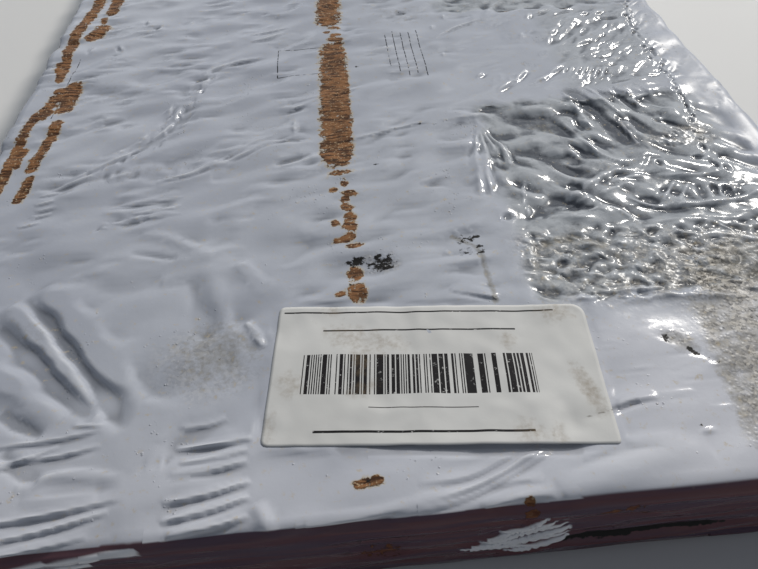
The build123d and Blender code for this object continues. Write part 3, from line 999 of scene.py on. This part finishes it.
def wanted_sizes(face, tolerance):
    """How large each cell may be, in grid steps, before it cuts a bend by more than the tolerance."""
    h = face.h
    bend = np.zeros(h.shape)
    bend[1:-1, :] += np.abs(h[2:, :] - 2 * h[1:-1, :] + h[:-2, :])
    bend[:, 1:-1] += np.abs(h[:, 2:] - 2 * h[:, 1:-1] + h[:, :-2])
    # between two bends the cells stay small
    for axis in (0, 1):
        bend = np.maximum(bend, np.maximum(np.roll(bend, 2, axis), np.roll(bend, -2, axis)))
    bend = np.maximum(bend[:-1, :-1], bend[1:, 1:])
    return np.sqrt(8 * tolerance / np.maximum(bend, 1e-9))


def soil_sizes(face, wanted, finest):
    """Keeps cells small where a mask changes, so that its edge is in the right place."""
    for name in ("rust", "smear_and_shadow"):
        mask = face.masks[name][:-1, :-1]
        wanted = np.where((mask > 0.02) & (mask < 0.98), np.minimum(wanted, finest), wanted)
    return wanted


def top_sizes(top):
    """The top is finest where the photograph is near, and under the label it is coarse."""
    y = top.y[:-1, :-1]
    tolerance = 0.22 + 0.12 * smooth(y, 55, 110) + 0.22 * smooth(y, 130, PHOTO_END + 5)
    tolerance += 2.8 * smooth(y, PHOTO_END, PHOTO_END + 35)
    x = top.x[:-1, :-1]
    tolerance *= 1 - 0.35 * smooth(x, 88, 100) * smooth(y, 196, 206) * smooth(y, 300, 290)
    beyond = smooth(y, PHOTO_END, PHOTO_END + 15)
    wanted = soil_sizes(top, wanted_sizes(top, tolerance), 2 + 2 * beyond)
    wanted = np.clip(wanted, 1 + 3 * beyond, 4 + 12 * beyond)
    u, v = label_places(x, y)
    inside = (np.abs(u) < LABEL_SIZE[0] / 2 - 2) & (np.abs(v) < LABEL_SIZE[1] / 2 - 2)
    return np.where(inside, 8, wanted)


# How each face's cells lie in the box, whether it is seen from behind, and which axis it stands across
FACES = {
    "top": (lambda a, b: (a, b, CELLS_UP), False, 2),
    "bottom": (lambda a, b: (a, b, 0), True, 2),
    "near": (lambda a, b: (a, 0, b), False, 1),
    "far": (lambda a, b: (a, CELLS_ALONG, b), True, 1),
    "left": (lambda a, b: (0, a, b), True, 0),
    "right": (lambda a, b: (CELLS_ACROSS, a, b), False, 0),
}


def follows_second(h, a, b, size):
    """Whether a square cell bends less along its second diagonal than along its first one."""
    if size == 1:
        return abs(h[a, b + 1] - h[a + 1, b]) < abs(h[a, b] - h[a + 1, b + 1])
    middle = 2 * h[a + size // 2, b + size // 2]
    first = abs(h[a, b] + h[a + size, b + size] - middle)
    return abs(h[a, b + size] + h[a + size, b] - middle) < first


def film_cells(sizes, reliefs):
    """Corners of the film's cells on the box, and each cell as a loop of corner numbers.

    A cell beside smaller ones takes in their corners on its edges, so the skin is closed.
    A square cell is cut between the first and third corner of its loop."""
    numbers = {}
    leaves = []
    for name, cells in sizes.items():
        place = FACES[name][0]
        size = LARGEST_CELL
        while size >= 1:
            for a, b in np.argwhere(block_min(cells, size) == size) * size:
                leaves.append((name, int(a), int(b), size))
                for u, v in ((a, b), (a + size, b), (a + size, b + size), (a, b + size)):
                    numbers.setdefault(place(int(u), int(v)), len(numbers))
            size //= 2
    loops = []
    for name, a, b, size in leaves:
        place, behind, _ = FACES[name]
        loop = []
        edges = ((1, 0, a, b), (0, 1, a + size, b), (-1, 0, a + size, b + size), (0, -1, a, b + size))
        for du, dv, u, v in edges:
            for i in range(size):
                number = numbers.get(place(u + du * i, v + dv * i))
                if number is not None:
                    loop.append(number)
        if behind:
            loop = loop[::-1]
        starts_on_first = not behind
        if len(loop) == 4 and follows_second(reliefs[name].h, a, b, size) == starts_on_first:
            loop = loop[1:] + loop[:1]
        loops.append(loop)
    return np.array(list(numbers)), loops


def box_places(lattice):
    """Where corners of the film's cells lie on the plain box, with y from its near end."""
    i, j, k = lattice.T
    return (i / CELLS_ACROSS - 0.5) * WIDTH, j / CELLS_ALONG * LENGTH, k / CELLS_UP * HEIGHT


def face_parts(lattice):
    """How much of each face's relief reaches a corner, which is all of it on the face itself."""
    i, j, k = lattice.T
    x, y, z = box_places(lattice)
    return {
        "top": (i, j, np.exp(-(HEIGHT - z) / TOP_CARRY)),
        "bottom": (i, j, np.exp(-z / BOTTOM_CARRY)),
        "near": (i, k, np.exp(-y / SIDE_CARRY)),
        "far": (i, k, np.exp(-(LENGTH - y) / SIDE_CARRY)),
        "left": (j, k, np.exp(-(x + WIDTH / 2) / SIDE_CARRY)),
        "right": (j, k, np.exp(-(WIDTH / 2 - x) / SIDE_CARRY)),
    }


def film_masks(lattice, reliefs):
    """How soiled each corner is."""
    masks = {name: np.zeros(len(lattice)) for name in MASKS}
    for name, (a, b, share) in face_parts(lattice).items():
        for mask, values in masks.items():
            masks[mask] = np.maximum(values, reliefs[name].masks[mask][a, b] * share**3)
    return masks


def place_film(lattice, reliefs):
    """Where each corner of the film's cells lies."""
    rise = np.zeros(len(lattice))
    for name, (a, b, share) in face_parts(lattice).items():
        rise += reliefs[name].h[a, b] * share
    x, y, z = box_places(lattice)
    point = np.stack([x, y - LENGTH / 2, z], axis=1)
    low = np.array([-WIDTH / 2, -LENGTH / 2, 0]) + FOLD_RADIUS
    high = np.array([WIDTH / 2, LENGTH / 2, HEIGHT]) - FOLD_RADIUS
    core = np.clip(point, low, high)
    out = point - core
    out /= np.linalg.norm(out, axis=1)[:, None]
    placed = core + out * (FOLD_RADIUS + rise)[:, None]
    placed[:, 2] = np.maximum(placed[:, 2], 0.0)
    return placed


def film_normals(lattice, reliefs):
    """Which way the film faces at each corner, from its relief at full fineness."""
    normals = np.zeros(lattice.shape)
    for name, (place, behind, axis) in FACES.items():
        rows, columns = np.indices(reliefs[name].h.shape)
        grid = np.stack([part + 0 * rows for part in place(rows, columns)], axis=-1)
        points = place_film(grid.reshape(-1, 3), reliefs).reshape(grid.shape)
        facing = np.cross(np.gradient(points, axis=0), np.gradient(points, axis=1))
        facing /= np.linalg.norm(facing, axis=-1)[..., None]
        on_face = lattice[:, axis] == place(0, 0)[axis]
        a, b = np.delete(lattice[on_face], axis, axis=1).T
        normals[on_face] += -facing[a, b] if behind else facing[a, b]
    return normals / np.linalg.norm(normals, axis=1)[:, None]


def add_attributes(mesh, masks):
    """Stores masks on a mesh's points, for its material."""
    for name, values in masks.items():
        attribute = mesh.attributes.new(name, "FLOAT", "POINT")
        attribute.data.foreach_set("value", np.ascontiguousarray(values, dtype=np.float32))


def new_object(name, points, faces, material):
    """A smooth-shaded mesh object from points in millimetres."""
    mesh = bpy.data.meshes.new(name)
    mesh.from_pydata((points * MM).tolist(), [], faces)
    mesh.polygons.foreach_set("use_smooth", np.ones(len(mesh.polygons), bool))
    mesh.materials.append(material)
    mesh.update()
    obj = bpy.data.objects.new(name, mesh)
    bpy.context.scene.collection.objects.link(obj)
    return obj


def make_film(label):
    """The whole film as one closed skin, finer where it is creased."""
    reliefs = {
        "top": make_top(label),
        "near": make_end(101),
        "far": make_end(111),
        "left": make_side(121, False),
        "right": make_side(131, True),
        "bottom": make_bottom(),
    }
    add_near_end_detail(reliefs["near"])
    # the relief of a face that stands on another ends at their common edge
    for name in ("near", "far", "left", "right"):
        face = reliefs[name]
        face.h *= smooth(face.y, HEIGHT, HEIGHT - 4) * smooth(face.y, 0, 3)
    sizes = {"top": top_sizes(reliefs["top"])}
    for name, tolerance, smallest, largest in [
        ("near", 0.7, 1, 4),
        ("far", 0.8, 4, 8),
        ("left", 1.5, 4, 16),
        ("right", 1.5, 4, 16),
        ("bottom", 3.0, 8, 16),
    ]:
        sizes[name] = np.clip(wanted_sizes(reliefs[name], tolerance), smallest, largest)
    sizes["near"] = soil_sizes(reliefs["near"], sizes["near"], 2)
    sizes = {name: cell_sizes(wanted) for name, wanted in sizes.items()}
    lattice, loops = film_cells(sizes, reliefs)
    film = new_object("film_wrap", place_film(lattice, reliefs), loops, film_material())
    film.data.normals_split_custom_set_from_vertices(film_normals(lattice, reliefs).tolist())
    add_attributes(film.data, film_masks(lattice, reliefs))
    print("film:", len(loops), "cells,", sum(len(p) - 2 for p in loops), "triangles")
    return film


def label_corner(u, v):
    """Rounds the corners of a grid over the label."""
    half_u, half_v = LABEL_SIZE[0] / 2, LABEL_SIZE[1] / 2
    for (side_u, side_v), radius in LABEL_CORNERS.items():
        du = u * side_u - (half_u - radius)
        dv = v * side_v - (half_v - radius)
        if du > 0 and dv > 0:
            shrink = max(du, dv) / math.hypot(du, dv)
            return side_u * (half_u - radius + du * shrink), side_v * (half_v - radius + dv * shrink)
    return u, v


def make_label(label):
    """The paper label, thin and slightly wavy, lying on the film."""
    us, vs = (np.linspace(-size / 2, size / 2, n + 1) for size, n in zip(LABEL_SIZE, LABEL_CELLS))
    flat = np.array([label_corner(u, v) for u in us for v in vs])
    u, v = flat.T
    height = SLACK + LABEL_GAP + label.sample(label.h, u, v) + label_lift(u, v)
    upper = np.stack([u, v, height + LABEL_THICK], axis=1)
    lower = np.stack([u, v, height], axis=1)
    count = len(u)
    rows, columns = len(us), len(vs)
    faces = []
    for i in range(rows - 1):
        for j in range(columns - 1):
            a = i * columns + j
            b = a + columns
            faces.append((a, b, b + 1, a + 1))
            faces.append((a + count, a + 1 + count, b + 1 + count, b + count))
    rim = [i * columns for i in range(rows)]
    rim += [(rows - 1) * columns + j for j in range(1, columns)]
    rim += [i * columns + columns - 1 for i in range(rows - 2, -1, -1)]
    rim += list(range(columns - 2, 0, -1))
    for a, b in zip(rim, rim[1:] + rim[:1]):
        faces.append((a, a + count, b + count, b))
    sheet = new_object("paper_label", np.concatenate([upper, lower]), faces, paper_material())
    for face in sheet.data.polygons[-len(rim) :]:
        face.use_smooth = False
    masks = {name: np.tile(label.sample(label.masks[name], u, v), 2) for name in ("dirt", "smear_and_shadow")}
    add_attributes(sheet.data, masks)
    sheet.location = Vector((LABEL_CENTRE[0], LABEL_CENTRE[1] - LENGTH / 2, HEIGHT)) * MM
    sheet.rotation_euler.z = math.radians(LABEL_TURN)
    return sheet


class Paint:
    """A material's node tree, built by calls that each return a socket."""

    def __init__(self, name):
        self.material = bpy.data.materials.new(name)
        self.material.use_nodes = True
        self.tree = self.material.node_tree
        self.shader = self.tree.nodes["Principled BSDF"]
        self.place = self.node("ShaderNodeTexCoord").outputs["Object"]

    def node(self, kind, inputs=(), **settings):
        node = self.tree.nodes.new(kind)
        for name, value in settings.items():
            setattr(node, name, value)
        for name, value in dict(inputs).items():
            self.put(node.inputs[name], value)
        return node

    def put(self, socket, value):
        if isinstance(value, bpy.types.NodeSocket):
            self.tree.links.new(value, socket)
        else:
            socket.default_value = value

    def math(self, operation, a, b=0.0):
        return self.node("ShaderNodeMath", {0: a, 1: b}, operation=operation).outputs[0]

    def plus(self, a, b):
        return self.math("ADD", a, b)

    def minus(self, a, b):
        return self.math("SUBTRACT", a, b)

    def times(self, a, b):
        return self.math("MULTIPLY", a, b)

    def larger(self, a, b):
        return self.math("MAXIMUM", a, b)

    def axes(self):
        """The object's coordinates in metres, one by one."""
        return self.node("ShaderNodeSeparateXYZ", {0: self.place}).outputs

    def attribute(self, name):
        return self.node("ShaderNodeAttribute", attribute_name=name).outputs["Fac"]

    def broken(self, mask, noise, amount):
        """A mask from the mesh, with its edge broken up by a noise."""
        return self.plus(self.attribute(mask), self.times(self.minus(noise, 0.5), amount))

    def stretched(self, x, y, z, turn=0.0):
        """The object's coordinates along turned axes, each multiplied by a number."""
        scale = (1 / x, 1 / y, 1 / z)
        inputs = {"Vector": self.place, "Scale": scale, "Rotation": (0, 0, math.radians(turn))}
        return self.node("ShaderNodeMapping", inputs, vector_type="TEXTURE").outputs[0]

    def noise(self, scale, detail=2.0, roughness=0.5, place=None):
        inputs = {"Scale": scale, "Detail": detail, "Roughness": roughness, "Vector": place or self.place}
        return self.node("ShaderNodeTexNoise", inputs).outputs["Fac"]

    def cells(self, scale, output="Distance"):
        inputs = {"Scale": scale, "Vector": self.place}
        return self.node("ShaderNodeTexVoronoi", inputs).outputs[output]

    def ramp(self, value, low, high, to_low=0.0, to_high=1.0):
        """A smooth step from low to high."""
        inputs = {"Value": value, "From Min": low, "From Max": high, "To Min": to_low, "To Max": to_high}
        node = self.node("ShaderNodeMapRange", inputs, interpolation_type="SMOOTHSTEP")
        return node.outputs[0]

    def mix(self, factor, a, b):
        """A colour between two others."""
        node = self.node("ShaderNodeMix", data_type="RGBA")
        colours = [socket for socket in node.inputs if socket.type == "RGBA"]
        self.put(node.inputs[0], factor)
        for socket, colour in zip(colours, (a, b)):
            self.put(socket, colour if isinstance(colour, bpy.types.NodeSocket) else (*colour, 1.0))
        return [socket for socket in node.outputs if socket.type == "RGBA"][0]

    def blend(self, factor, a, b):
        """A number between two others."""
        return self.plus(self.times(self.minus(1.0, factor), a), self.times(factor, b))

    def between(self, value, low, high):
        """1 between two values, with thin soft edges."""
        soft = 0.06
        above = self.ramp(value, low - soft, low + soft)
        return self.times(above, self.ramp(value, high + soft, high - soft))

    def bump(self, height, distance, under=None):
        """Adds a height, from 0 to 1 and this many millimetres, to the normal."""
        inputs = {"Height": height, "Strength": 1.0, "Distance": distance * MM}
        if under:
            inputs["Normal"] = under
        return self.node("ShaderNodeBump", inputs).outputs[0]

    def finish(self, **sockets):
        for name, value in sockets.items():
            title = name.replace("_", " ").title().replace("Ior", "IOR")
            self.put(self.shader.inputs[title], value)
        return self.material


def along_at(y):
    """A place along the bundle, from its near end, as its object coordinate."""
    return (y - LENGTH / 2) * MM


class FilmPaint(Paint):
    """The film's node tree, with the masks and noises that several of its layers share."""

    def __init__(self):
        super().__init__("film")
        self.across, self.along, self.up = self.axes()
        self.patch = self.noise(60.0, 4.0, 0.6)
        self.speck = self.noise(900.0, 3.0, 0.7)
        self.ragged = self.noise(420.0, 5.0, 0.65)
        self.mottle = self.noise(150.0, 4.0, 0.65)
        self.streaky = self.noise(1.0, 5.0, 0.6, self.stretched(140, 700, 400))
        self.drawn = self.attribute("drawn")
        # where painted shade darkens the near end
        self.end = self.attribute("end")
        self.dirt = self.ramp(self.broken("dirt", self.ragged, 1.5), 0.35, 1.1, 0.0, 0.65)
        # black smears, and painted shadow in the gap on the near end
        self.smear_and_shadow = self.ramp(self.broken("smear_and_shadow", self.ragged, 2.2), 0.62, 0.80)
        clumps = self.ramp(self.noise(34.0, 2.0), 0.36, 0.60, 0.45, 1.0)
        self.grit = self.times(self.attribute("grit"), clumps)
        worn_off = self.ramp(self.noise(230.0, 5.0, 0.75), 0.54, 0.70, 0.0, 0.55)
        self.rusted = self.minus(self.broken("rust", self.ragged, 1.7), worn_off)
        self.rust = self.ramp(self.rusted, 0.42, 0.54)


def film_plastic(film):
    """Milky plastic: darker in its hollows with painted shade, partly the shingle showing through where it
    lies close, and whiter with painted highlights on its crests, its near end and right of the label.
    """
    cloud = film.noise(9.0, 3.0)
    colour = film.mix(film.ramp(cloud, 0.35, 0.65), (0.40, 0.423, 0.485), (0.46, 0.484, 0.54))
    colour = film.mix(film.ramp(film.patch, 0.3, 0.75, 0.0, 0.35), colour, (0.36, 0.382, 0.43))
    # painted shade in the hollows and in patches where the film is drawn in, partly the dark shingle showing
    # through where the film clings
    close = film.ramp(film.noise(130.0, 4.0, 0.6), 0.35, 0.65, 0.0, 0.45)
    cling_and_shade = film.plus(film.attribute("cling_and_shade"), film.times(film.drawn, close))
    colour = film.mix(film.times(film.drawn, 0.7), colour, (0.40, 0.423, 0.44))
    cling_shade_strength = film.ramp(film.drawn, 0.0, 1.0, 0.66, 0.97)
    colour = film.mix(film.times(film.ramp(cling_and_shade, 0.1, 1.0), cling_shade_strength), colour, (0.080, 0.088, 0.105))
    # painted highlight along the crests
    crest_highlight = film.ramp(film.attribute("crest_highlight"), 0.15, 1.0, 0.0, 0.6)
    colour = film.mix(crest_highlight, colour, (0.68, 0.70, 0.74))
    # painted sheen: towards the near end it is whiter, and most of all right of the label
    sheen_right = film.ramp(film.across, 30 * MM, 75 * MM)
    sheen_right = film.times(sheen_right, film.ramp(film.along, along_at(68), along_at(50), 0.0, 0.9))
    sheen = film.larger(film.ramp(film.along, along_at(55), along_at(5), 0.0, 0.5), sheen_right)
    colour = film.mix(sheen, colour, (0.60, 0.61, 0.66))
    # on the near end a painted highlight makes its folds white, and painted shade makes the rest of it dark
    # and reddish
    end_highlight = film.ramp(film.along, along_at(2), along_at(0))
    end_highlight = film.times(end_highlight, film.ramp(cling_and_shade, 0.1, 0.5, 0.75, 0.0))
    colour = film.mix(end_highlight, colour, (0.86, 0.86, 0.88))
    cloud = film.noise(1.0, 4.0, 0.6, film.stretched(14, 60, 240))
    end_shade = film.mix(film.ramp(cloud, 0.35, 0.65), (0.135, 0.058, 0.064), (0.088, 0.056, 0.082))
    return film.mix(film.ramp(film.end, 0.3, 0.8), colour, end_shade)


def film_print(film):
    """Where there is ink on the film: an empty frame and plain ruled lines."""
    x = film.times(film.across, 1 / MM)
    y = film.plus(film.times(film.along, 1 / MM), LENGTH / 2)
    left, right, low, high = PRINT_FRAME
    gaps = []
    for place, start, end in ((x, left, right), (y, low, high)):
        from_middle = film.math("ABSOLUTE", film.minus(place, (start + end) / 2))
        gaps.append(film.minus(from_middle, (end - start) / 2))
    ink = film.ramp(film.math("ABSOLUTE", film.larger(*gaps)), 0.36, 0.20)
    for place, start, end in PRINT_LINES:
        line = film.between(x, place - 0.25, place + 0.25)
        ink = film.larger(ink, film.times(line, film.between(y, start, end)))
    on_top = film.ramp(film.up, (HEIGHT - 4) * MM, (HEIGHT - 3) * MM)
    worn = film.ramp(film.ragged, 0.60, 0.50)
    return film.times(film.times(ink, on_top), worn)


def film_dirt(film, colour):
    """Dirt, and granules of mixed tones that stick to the film and show through it."""
    colour = film.mix(film.dirt, colour, (0.20, 0.185, 0.15))
    tone = film.node("ShaderNodeSeparateColor", {0: film.cells(850.0, "Color")}).outputs[0]
    granules = film.mix(film.ramp(tone, 0.1, 0.95), (0.055, 0.046, 0.036), (0.56, 0.52, 0.45))
    shown = film.times(film.grit, film.ramp(film.mottle, 0.40, 0.58))
    colour = film.mix(film.times(shown, 0.76), colour, granules)
    shade = film.times(film.grit, film.ramp(film.speck, 0.56, 0.70))
    return film.mix(film.times(shade, 0.5), colour, (0.06, 0.052, 0.042))


def film_rust(film, colour):
    """Streaked and mottled rust with a pale rim, and darker on the near end with painted shade."""
    rim = film.times(film.ramp(film.rusted, 0.12, 0.46, 0.0, 0.72), film.minus(1.0, film.end))
    rust = film.mix(film.ramp(film.streaky, 0.40, 0.56), (0.055, 0.024, 0.012), (0.265, 0.128, 0.056))
    rust = film.mix(film.ramp(film.mottle, 0.50, 0.62, 0.0, 0.6), rust, (0.060, 0.028, 0.014))
    rust = film.mix(film.ramp(film.speck, 0.56, 0.70), rust, (0.50, 0.37, 0.23))
    # painted shade: on the near end the rust is darker
    rust = film.mix(film.times(film.end, 0.7), rust, (0.11, 0.034, 0.018))
    return film.mix(film.rust, film.mix(rim, colour, (0.50, 0.42, 0.29)), rust)


def film_roughness(film):
    """Glossy, but dull where it is soiled and along the tight strip at the right edge."""
    roughness = film.ramp(film.patch, 0.3, 0.7, 0.11, 0.18)
    for amount, value in [
        (film.dirt, 0.55),
        (film.times(film.grit, 0.5), 0.5),
        (film.rust, 0.62),
        (film.ramp(film.across, 148 * MM, 158 * MM), 0.36),
        (film.smear_and_shadow, 0.6),
    ]:
        roughness = film.blend(amount, roughness, value)
    return roughness


def film_bump(film):
    """Crinkle that is too fine for the mesh, and granules."""
    tight = film.noise(1.0, 2.0, 0.5, film.stretched(210, 130, 150))
    # beyond the near cut-out lie fine slanting creases
    slanting = film.times(film.noise(1.0, 2.0, 0.5, film.stretched(400, 130, 150, -36)), film.drawn)
    slanting = film.times(slanting, film.ramp(film.along, along_at(194), along_at(206)))
    # single granules under the film show as pits and points, in patches
    pits = film.times(film.ramp(film.cells(640.0), 0.30, 0.08), film.ramp(film.patch, 0.56, 0.64))
    normal = film.bump(film.noise(260.0, 3.0, 0.55), 0.06)
    for height, distance in [
        (film.times(tight, film.drawn), 0.08),
        (slanting, 0.34),
        (film.times(pits, film.ramp(film.ragged, 0.46, 0.60)), 0.24),
        (film.times(film.grit, film.ramp(film.cells(620.0), 0.55, 0.1)), 0.12),
        (film.times(film.rust, film.streaky), 0.5),
    ]:
        normal = film.bump(height, distance, normal)
    return normal


def film_material():
    """White plastic film over dark shingles, with ink, dirt, grit, rust and black smears on it, and painted
    shade, shadows and highlights.
    """
    film = FilmPaint()
    colour = film.mix(film_print(film), film_plastic(film), (0.035, 0.035, 0.040))
    colour = film_rust(film, film_dirt(film, colour))
    # black smears, and painted shadow in the gap on the near end
    colour = film.mix(film.smear_and_shadow, colour, (0.012, 0.011, 0.010))
    normal = film_bump(film)
    return film.finish(
        base_color=colour, roughness=film_roughness(film), normal=normal, specular_ior_level=0.12
    )


def paper_material():
    """White label paper with a plain bar pattern and ruled lines, worn and smeared, with painted shadow along
    two creases.
    """
    paint = Paint("paper")
    u, v, _ = (paint.times(axis, 1 / MM) for axis in paint.axes())
    ragged = paint.noise(500.0, 5.0, 0.65)
    cloud = paint.noise(40.0, 3.0)
    worn = paint.ramp(paint.noise(700.0, 4.0, 0.7), 0.60, 0.68)

    colour = paint.mix(paint.ramp(cloud, 0.3, 0.7), (0.595, 0.595, 0.58), (0.67, 0.67, 0.655))
    # bars whose widths are any number of modules
    module = 0.36
    step = paint.math("FLOOR", paint.math("DIVIDE", u, module))
    random = paint.node("ShaderNodeTexWhiteNoise", {"W": paint.plus(step, 0.5)}, noise_dimensions="1D")
    bars = paint.math("GREATER_THAN", random.outputs["Value"], 0.46)
    area = paint.times(paint.between(u, -41.0, 30.8), paint.between(v, -8.6, 5.8))
    ink = paint.times(bars, area)
    # ruled lines
    for low, high, left, right in [
        (22.6, 23.2, -49, 40.5),
        (15.2, 15.8, -35.5, 27),
        (-13.4, -13.1, -20.3, 12.2),
        (-21.4, -20.6, -36.2, 27.5),
    ]:
        ink = paint.larger(ink, paint.times(paint.between(v, low, high), paint.between(u, left, right)))
    ink = paint.times(ink, paint.minus(1.0, paint.times(worn, 0.7)))
    colour = paint.mix(ink, colour, (0.018, 0.017, 0.018))

    dirt = paint.ramp(paint.broken("dirt", ragged, 1.5), 0.25, 1.5, 0.0, 0.75)
    colour = paint.mix(dirt, colour, (0.24, 0.18, 0.11))
    # black smears, and painted shadow along two creases
    smear_and_shadow = paint.ramp(paint.broken("smear_and_shadow", ragged, 1.0), 0.45, 0.7, 0.0, 0.75)
    colour = paint.mix(smear_and_shadow, colour, (0.10, 0.085, 0.06))

    roughness = paint.ramp(cloud, 0.3, 0.7, 0.5, 0.6)
    normal = paint.bump(paint.noise(300.0, 3.0), 0.05)
    return paint.finish(base_color=colour, roughness=roughness, normal=normal, specular_ior_level=0.06)


def shingle_material():
    """Asphalt shingle: mineral granules of mixed browns pressed into black asphalt."""
    paint = Paint("shingle")
    size = 620.0
    gap = paint.cells(size)
    tone = paint.node("ShaderNodeSeparateColor", {0: paint.cells(size, "Color")}).outputs[0]
    blend = paint.noise(8.0, 2.0)
    colour = paint.mix(paint.ramp(tone, 0.1, 0.9), (0.035, 0.026, 0.020), (0.21, 0.155, 0.11))
    colour = paint.mix(paint.ramp(blend, 0.45, 0.6, 0.0, 0.5), colour, (0.10, 0.085, 0.075))
    colour = paint.mix(paint.ramp(gap, 0.45, 0.7), colour, (0.008, 0.008, 0.008))
    normal = paint.bump(paint.ramp(gap, 0.75, 0.1), 0.8)
    return paint.finish(base_color=colour, roughness=0.85, normal=normal)


def make_camera():
    """The photograph's camera, from its place, aim and focal length."""
    pitch, roll, yaw = (math.radians(a) for a in (CAMERA_PITCH, CAMERA_ROLL, CAMERA_YAW))
    ahead = Vector((math.sin(yaw) * math.cos(pitch), math.cos(yaw) * math.cos(pitch), -math.sin(pitch)))
    level = Vector((math.cos(yaw), -math.sin(yaw), 0))
    down = ahead.cross(level)
    right = level * math.cos(roll) + down * math.sin(roll)
    down = down * math.cos(roll) - level * math.sin(roll)
    data = bpy.data.cameras.new("camera")
    data.sensor_width = 36.0
    data.lens = PHOTO_FOCAL / PHOTO_WIDTH * data.sensor_width
    data.clip_start = 0.005
    camera = bpy.data.objects.new("camera", data)
    bpy.context.scene.collection.objects.link(camera)
    axes = Matrix((right, -down, -ahead)).transposed()
    place = Vector((CAMERA_X, CAMERA_Y - LENGTH / 2, CAMERA_OVER_TOP + HEIGHT)) * MM
    camera.matrix_world = Matrix.Translation(place) @ axes.to_4x4()
    bpy.context.scene.camera = camera


def add_softbox(name, turn, rise, distance, size, power, colour):
    """A square light aimed at the bundle, from so many degrees right of its far end and over the floor."""
    data = bpy.data.lights.new(name, "AREA")
    data.shape = "SQUARE"
    data.size = size
    data.energy = power
    data.color = colour
    light = bpy.data.objects.new(name, data)
    bpy.context.scene.collection.objects.link(light)
    turn, rise = math.radians(turn), math.radians(rise)
    toward = Vector((math.sin(turn) * math.cos(rise), math.cos(turn) * math.cos(rise), math.sin(rise)))
    light.location = toward * distance
    light.rotation_euler = toward.to_track_quat("Z", "Y").to_euler()


def make_light():
    """A pale even world and three soft lamps."""
    world = bpy.data.worlds.new("studio")
    bpy.context.scene.world = world
    world.use_nodes = True
    background = world.node_tree.nodes["Background"]
    background.inputs["Color"].default_value = (0.80, 0.88, 1.0, 1)
    # it is paler to look at, also in reflections, than the light that it gives
    nodes, links = world.node_tree.nodes, world.node_tree.links
    rays = nodes.new("ShaderNodeLightPath").outputs
    seen = None
    for name in ("Is Camera Ray", "Is Glossy Ray", "Is Transmission Ray"):
        part = nodes.new("ShaderNodeMath")
        part.operation = "MULTIPLY_ADD"
        links.new(rays[name], part.inputs[0])
        part.inputs[1].default_value = WORLD_EXTRA
        part.inputs[2].default_value = WORLD_LIGHT
        if seen:
            links.new(seen, part.inputs[2])
        seen = part.outputs[0]
    links.new(seen, background.inputs["Strength"])
    add_softbox("key", 50, 37, 3.3, 0.4, 96, (1.0, 0.96, 0.90))
    add_softbox("broad", 38, 54, 3.0, 1.8, 20, (0.96, 0.98, 1.0))
    add_softbox("low", -22, 24, 2.6, 1.4, 4, (0.95, 0.97, 1.0))


def make_floor():
    """A wide plain pale floor."""
    paint = Paint("floor")
    colour = paint.mix(paint.noise(6.0, 3.0), (0.66, 0.66, 0.655), (0.70, 0.70, 0.69))
    material = paint.finish(base_color=colour, roughness=0.85)
    reach = 6000.0
    corners = np.array([(-reach, -reach, 0), (reach, -reach, 0), (reach, reach, 0), (-reach, reach, 0)])
    new_object("floor", corners, [(0, 1, 2, 3)], material)


bpy.context.scene.view_settings.view_transform = "Standard"
make_camera()
make_light()
make_floor()

label_relief = make_label_relief()
film = make_film(label_relief)
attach(film, "root")
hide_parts("wrap")
label = make_label(label_relief)
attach(label, "root")
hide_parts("label")

shingles = bpy.data.objects["shingles"]
granules = shingle_material()
for slot in shingles.material_slots:
    slot.material = granules
